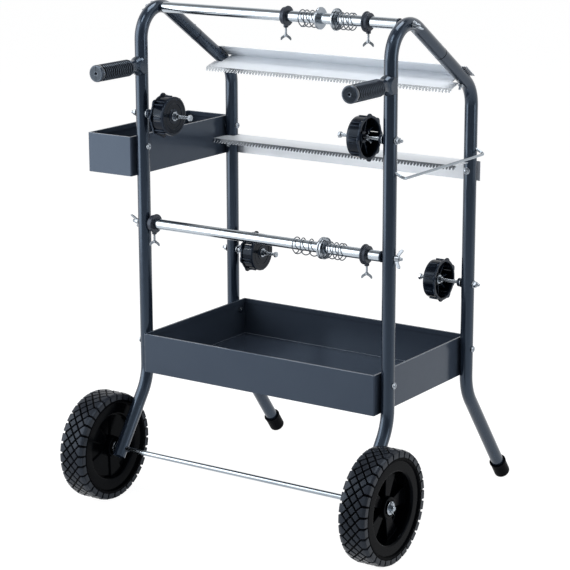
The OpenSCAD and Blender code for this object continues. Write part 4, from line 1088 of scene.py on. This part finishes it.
def cutters():
    clear = TUBE_R + BLADE / 2 + CUTTER_GAP
    bend = REAR_BEND + clear * DIAGONAL_UP + UPPER_PAST * DIAGONAL
    droop = radians(UPPER_DROOP)
    edge = bend - CUTTER_FLANGE * Vector((cos(droop), sin(droop)))
    # The upper cutter's teeth take the lighter lit copy of the steel, the lower's the darker shaded copy
    make_cutter("upper_cutter", bend - CUTTER_PLATE * DIAGONAL, bend, edge, slope=55, stub=37.2,
                finish="lit_teeth_steel")
    back = POST_GAP + clear
    edge = (back - CUTTER_FLANGE - LOWER_WIDER, LOWER_CUTTER_Z + LOWER_RISE)
    make_cutter("lower_cutter", (back, LOWER_CUTTER_Z - CUTTER_PLATE), (back, LOWER_CUTTER_Z), edge,
                slope=50, stub=26, finish="shaded_teeth_steel")


# ---------------- screws, split pins, studs, caps

# Screws: radius and height of the head, diameter of the thread
M6, M5, SEAM_SCREW = (6, 3.1, 6), (5, 3.2, 5), (3.6, 1.4, 3.2)
# Radius of a foot cap and of its rounded lower edge
CAP_R, CAP_ROUND = 15, 4


def add_screw(piece, place, head_r, head_h, d, length):
    """Pan head screw: the top of its head at 0, its thread along +Z."""
    flip = Matrix.Translation((0, 0, head_h)) @ Matrix.Rotation(pi, 4, "X")
    piece.add(pan_head(head_r, head_h), place @ flip)
    piece.add(threaded(d / 2, length + 0.4, 1.0, 0.2, 20), place @ Matrix.Translation((0, 0, head_h - 0.4)))


def tray_bolts():
    bolts = Piece("tray_bolts", "headed")
    nut = nut_shape(10, 5.9, 4.5)
    large = [(sign * (OUTER_X + 3.2), y, TRAY_BOLT_Z, -90 * sign, 33, 31.2)
             for sign in (-1, 1) for y in (0, POST_GAP)]
    small = [(-INNER_X + 3.2, y, SMALL_TRAY_BOLT_Z, -90, 35, 31.8) for y in (0, POST_GAP)]
    for x, y, z, turn, length, nut_at in large + small:
        place = seat((x, y, z), (0, turn, 0))
        add_screw(bolts, place, *M6, length)
        bolts.add(nut, up(place, nut_at))
    bolts.done()


def cutter_screws():
    held = Piece("cutter_screws", "headed")
    nut, disc = nut_shape(8, 4.9, 4), washer_shape(6.5, 2.45, 1.6)
    for sign in (-1, 1):
        low = seat((sign * POST_X, POST_GAP - TUBE_R - 5.2, LOWER_SCREW_Z), (-90, 0, 0))
        add_screw(held, low, *M5, 33)
        held.add(disc, up(low, 3.3)).add(nut, up(low, 30.8))
        head, end = UPPER_BOLT + DIAGONAL_UP * 16.8, UPPER_BOLT - DIAGONAL_UP * 16.2
        add_screw(held, seat((sign * POST_X, *head), (180 - DIAGONAL_SLOPE, 0, 0)), *M5, 36)
        held.add(nut, seat((sign * POST_X, *end), (-DIAGONAL_SLOPE, 0, 0)))
    held.done()


def frame_seams():
    """The screw at each seam of the side frames, and the dark gap between the two tubes."""
    screws = Piece("frame_seam_screws", "headed")
    gaps = Piece("frame_seam_screws", "gaps", "frame_paint", first="frame_seam")
    head = SEAM - 12 * DIAGONAL + (TUBE_R + 1.4) * DIAGONAL_UP
    gap = lathe([(TUBE_R - 0.3, -0.8), (TUBE_R + 0.12, -0.7), (TUBE_R + 0.12, 0.7), (TUBE_R - 0.3, 0.8)],
                64, closed=True)
    for sign in (-1, 1):
        add_screw(screws, seat((sign * POST_X, *head), (180 - DIAGONAL_SLOPE, 0, 0)), *SEAM_SCREW, 1.3)
        gaps.add(gap, seat((sign * POST_X, *SEAM), (-90 - DIAGONAL_SLOPE, 0, 0)))
    screws.done()
    gaps.done(material="tyre_rubber")


def split_pins():
    pins = Piece("cotter_pins", "wire")
    eye = Rod(1.0, (2.7, 0, 0), (0, 1, 0)).turn((0, 0, 0), (0, 0, 1), 360, 24).bm
    bmesh.ops.remove_doubles(eye, verts=eye.verts, dist=0.01)
    # The cap of the first ring is inside the closed eye
    caps = [f for f in eye.faces if len(f.verts) > 4]
    bmesh.ops.delete(eye, geom=caps, context="FACES_ONLY")
    face_out(eye)
    straight = Rod(0.75, (0.72, 0, -9), (0, 0, 1)).draw((0, 0, 16.4)).close()
    spread_leg = Rod(0.75, (-0.72, 0, 7.4), (0, 0, -1)).draw((0, 0, -13.4)).draw((-3.6, 0, -5.2)).close()
    for sign in (-1, 1):
        place = seat((sign * (WHEEL_X + 20.5), AXLE_Y, WHEEL_R), (0, 0, -90))
        pins.add(eye, up(place, 9.2) @ Matrix.Rotation(pi / 2, 4, "X"))
        pins.add(straight, place).add(spread_leg, place)
    pins.done()


def axle_washers():
    discs = Piece("axle_washers", "rounded")
    near, far = washer_shape(11, 4.9, 2.4), washer_shape(12, 4.9, 1.8)
    for sign in (-1, 1):
        discs.add(near, outward(sign, OUTER_X + 0.1, AXLE_Y, WHEEL_R))
        discs.add(far, outward(sign, WHEEL_X + 16.5, AXLE_Y, WHEEL_R))
    discs.done()


def bar_ends():
    studs = Piece("bar_studs", "threaded")
    plugs = Piece("bar_end_plugs", "moulded", "hub_plastic")
    stud = threaded(3.0, 53, 1.0, 0.28, 32)
    plug = lathe([(3.05, 0.6), (3.5, 0.3), (8.9, 0.3), (9.6, 0.6), (9.9, 1.3), (9.9, 3.5), (9.5, 3.9),
                  (8.6, 3.9), (8.2, 4.3), (8.2, 16.2), (7.2, 17), (3.4, 17), (3.05, 16.6)], 64, closed=True)
    for bar in (TOP_BAR, MID_BAR):
        for sign in (-1, 1):
            studs.add(stud, outward(sign, INNER_X - 15, *bar))
            plugs.add(plug, seat((sign * INNER_X, *bar), (0, -90 * sign, 0)))
    studs.done()
    plugs.done()


def feet():
    """Rubber caps on the rear legs, whose rounded lower edge rests on the floor."""
    caps = Piece("foot_caps", "moulded", "cap_rubber")
    cap = lathe([(0, 0), (11, 0), (12.6, 0.35), (14.0, 1.3), (14.8, 2.8), (CAP_R, 4.2), (CAP_R, 31.6),
                 (15.3, 32.4), (15.9, 33), (16, 34), (15.9, 35.3), (15.2, 36), (12.6, 36), (12.1, 35.4),
                 (12.08, 5.8), (11.8, 5.6), (0, 5.6)], 64)
    lean = radians(REAR_LEG_SLOPE)
    z = CAP_ROUND + (CAP_R - CAP_ROUND) * sin(lean) - CAP_ROUND * cos(lean)
    for sign in (-1, 1):
        caps.add(cap, seat((sign * POST_X, FOOT_Y - z * tan(lean), z), (REAR_LEG_SLOPE, 0, 0)))
    caps.done()


# ---------------- trays

# How far the trays stand out before the front posts and behind the rear posts
LARGE_FRONT, LARGE_BACK, SMALL_FRONT, SMALL_BACK = 25, 20, 20, 10
SMALL_WIDTH = 100


def tray_shape(width, depth, height, sheet=1.5, hem=9.0, corner=2.5):
    """Open sheet tray: floor, walls and a hem folded inwards round the rim."""
    outline = []
    for i, (sx, sy) in enumerate(((1, 1), (-1, 1), (-1, -1), (1, -1))):
        for step in range(5):
            a = radians(90 * i + 22.5 * step)
            outline.append((sx * (width / 2 - corner) + corner * cos(a),
                            sy * (depth / 2 - corner) + corner * sin(a)))
    bm = plate(outline, height)
    top = max(bm.faces, key=lambda f: f.calc_center_median().z)
    bmesh.ops.inset_region(bm, faces=[top], thickness=2 * sheet, use_even_offset=True)
    size = [width - 4 * sheet, depth - 4 * sheet]
    for drop, grow in ((hem, 0.0), (0.0, 2 * sheet), (height - hem - sheet, 0.0)):
        geom = bmesh.ops.extrude_face_region(bm, geom=[top])["geom"]
        if top.is_valid:
            bmesh.ops.delete(bm, geom=[top], context="FACES_ONLY")
        top = only(bmesh.types.BMFace, geom)[0]
        verts = list(top.verts)
        bmesh.ops.translate(bm, vec=(0, 0, -drop), verts=verts)
        bmesh.ops.scale(bm, vec=((size[0] + grow) / size[0], (size[1] + grow) / size[1], 1), verts=verts)
        size = [v + grow for v in size]
    face_out(bm)
    return soften(bm, 0.6, 40, 3)


def trays():
    large, small = Piece("large_tray", "folded", "tray_paint"), Piece("small_tray", "folded", "tray_paint")
    small_x = -(OUTER_X + 1 + SMALL_WIDTH / 2)
    for tray, width, front, back, x, top in (
            (large, 2 * INNER_X - 1, LARGE_FRONT, LARGE_BACK, 0, TRAY_TOP),
            (small, SMALL_WIDTH, SMALL_FRONT, SMALL_BACK, small_x, SMALL_TRAY_TOP)):
        depth = front + POST_GAP + back
        shape = tray_shape(width, depth, TRAY_DEPTH)
        tray.add(shape, seat((x, depth / 2 - front, top - TRAY_DEPTH))).done(50)


def dress_cad():
    """Gives the carried-over solids their finish."""
    for sub in frame["record"]["subparts"]:
        node = NODES[sub["node"]]
        node.data.materials.clear()
        drawn = sub["node"] in ("axle", "side_rail")
        node.data.materials.append(MATS["rod" if drawn else sub["material_slot"]])


make_camera()
make_lamps()
make_world()
make_floor()
dress_cad()
wheels()
bar_fittings()
wing_nuts()
tape_hubs()
hub_hardware()
grips()
cutters()
tray_bolts()
cutter_screws()
frame_seams()
split_pins()
axle_washers()
bar_ends()
feet()
trays()

scene = bpy.context.scene
scene.view_settings.view_transform = "Standard"
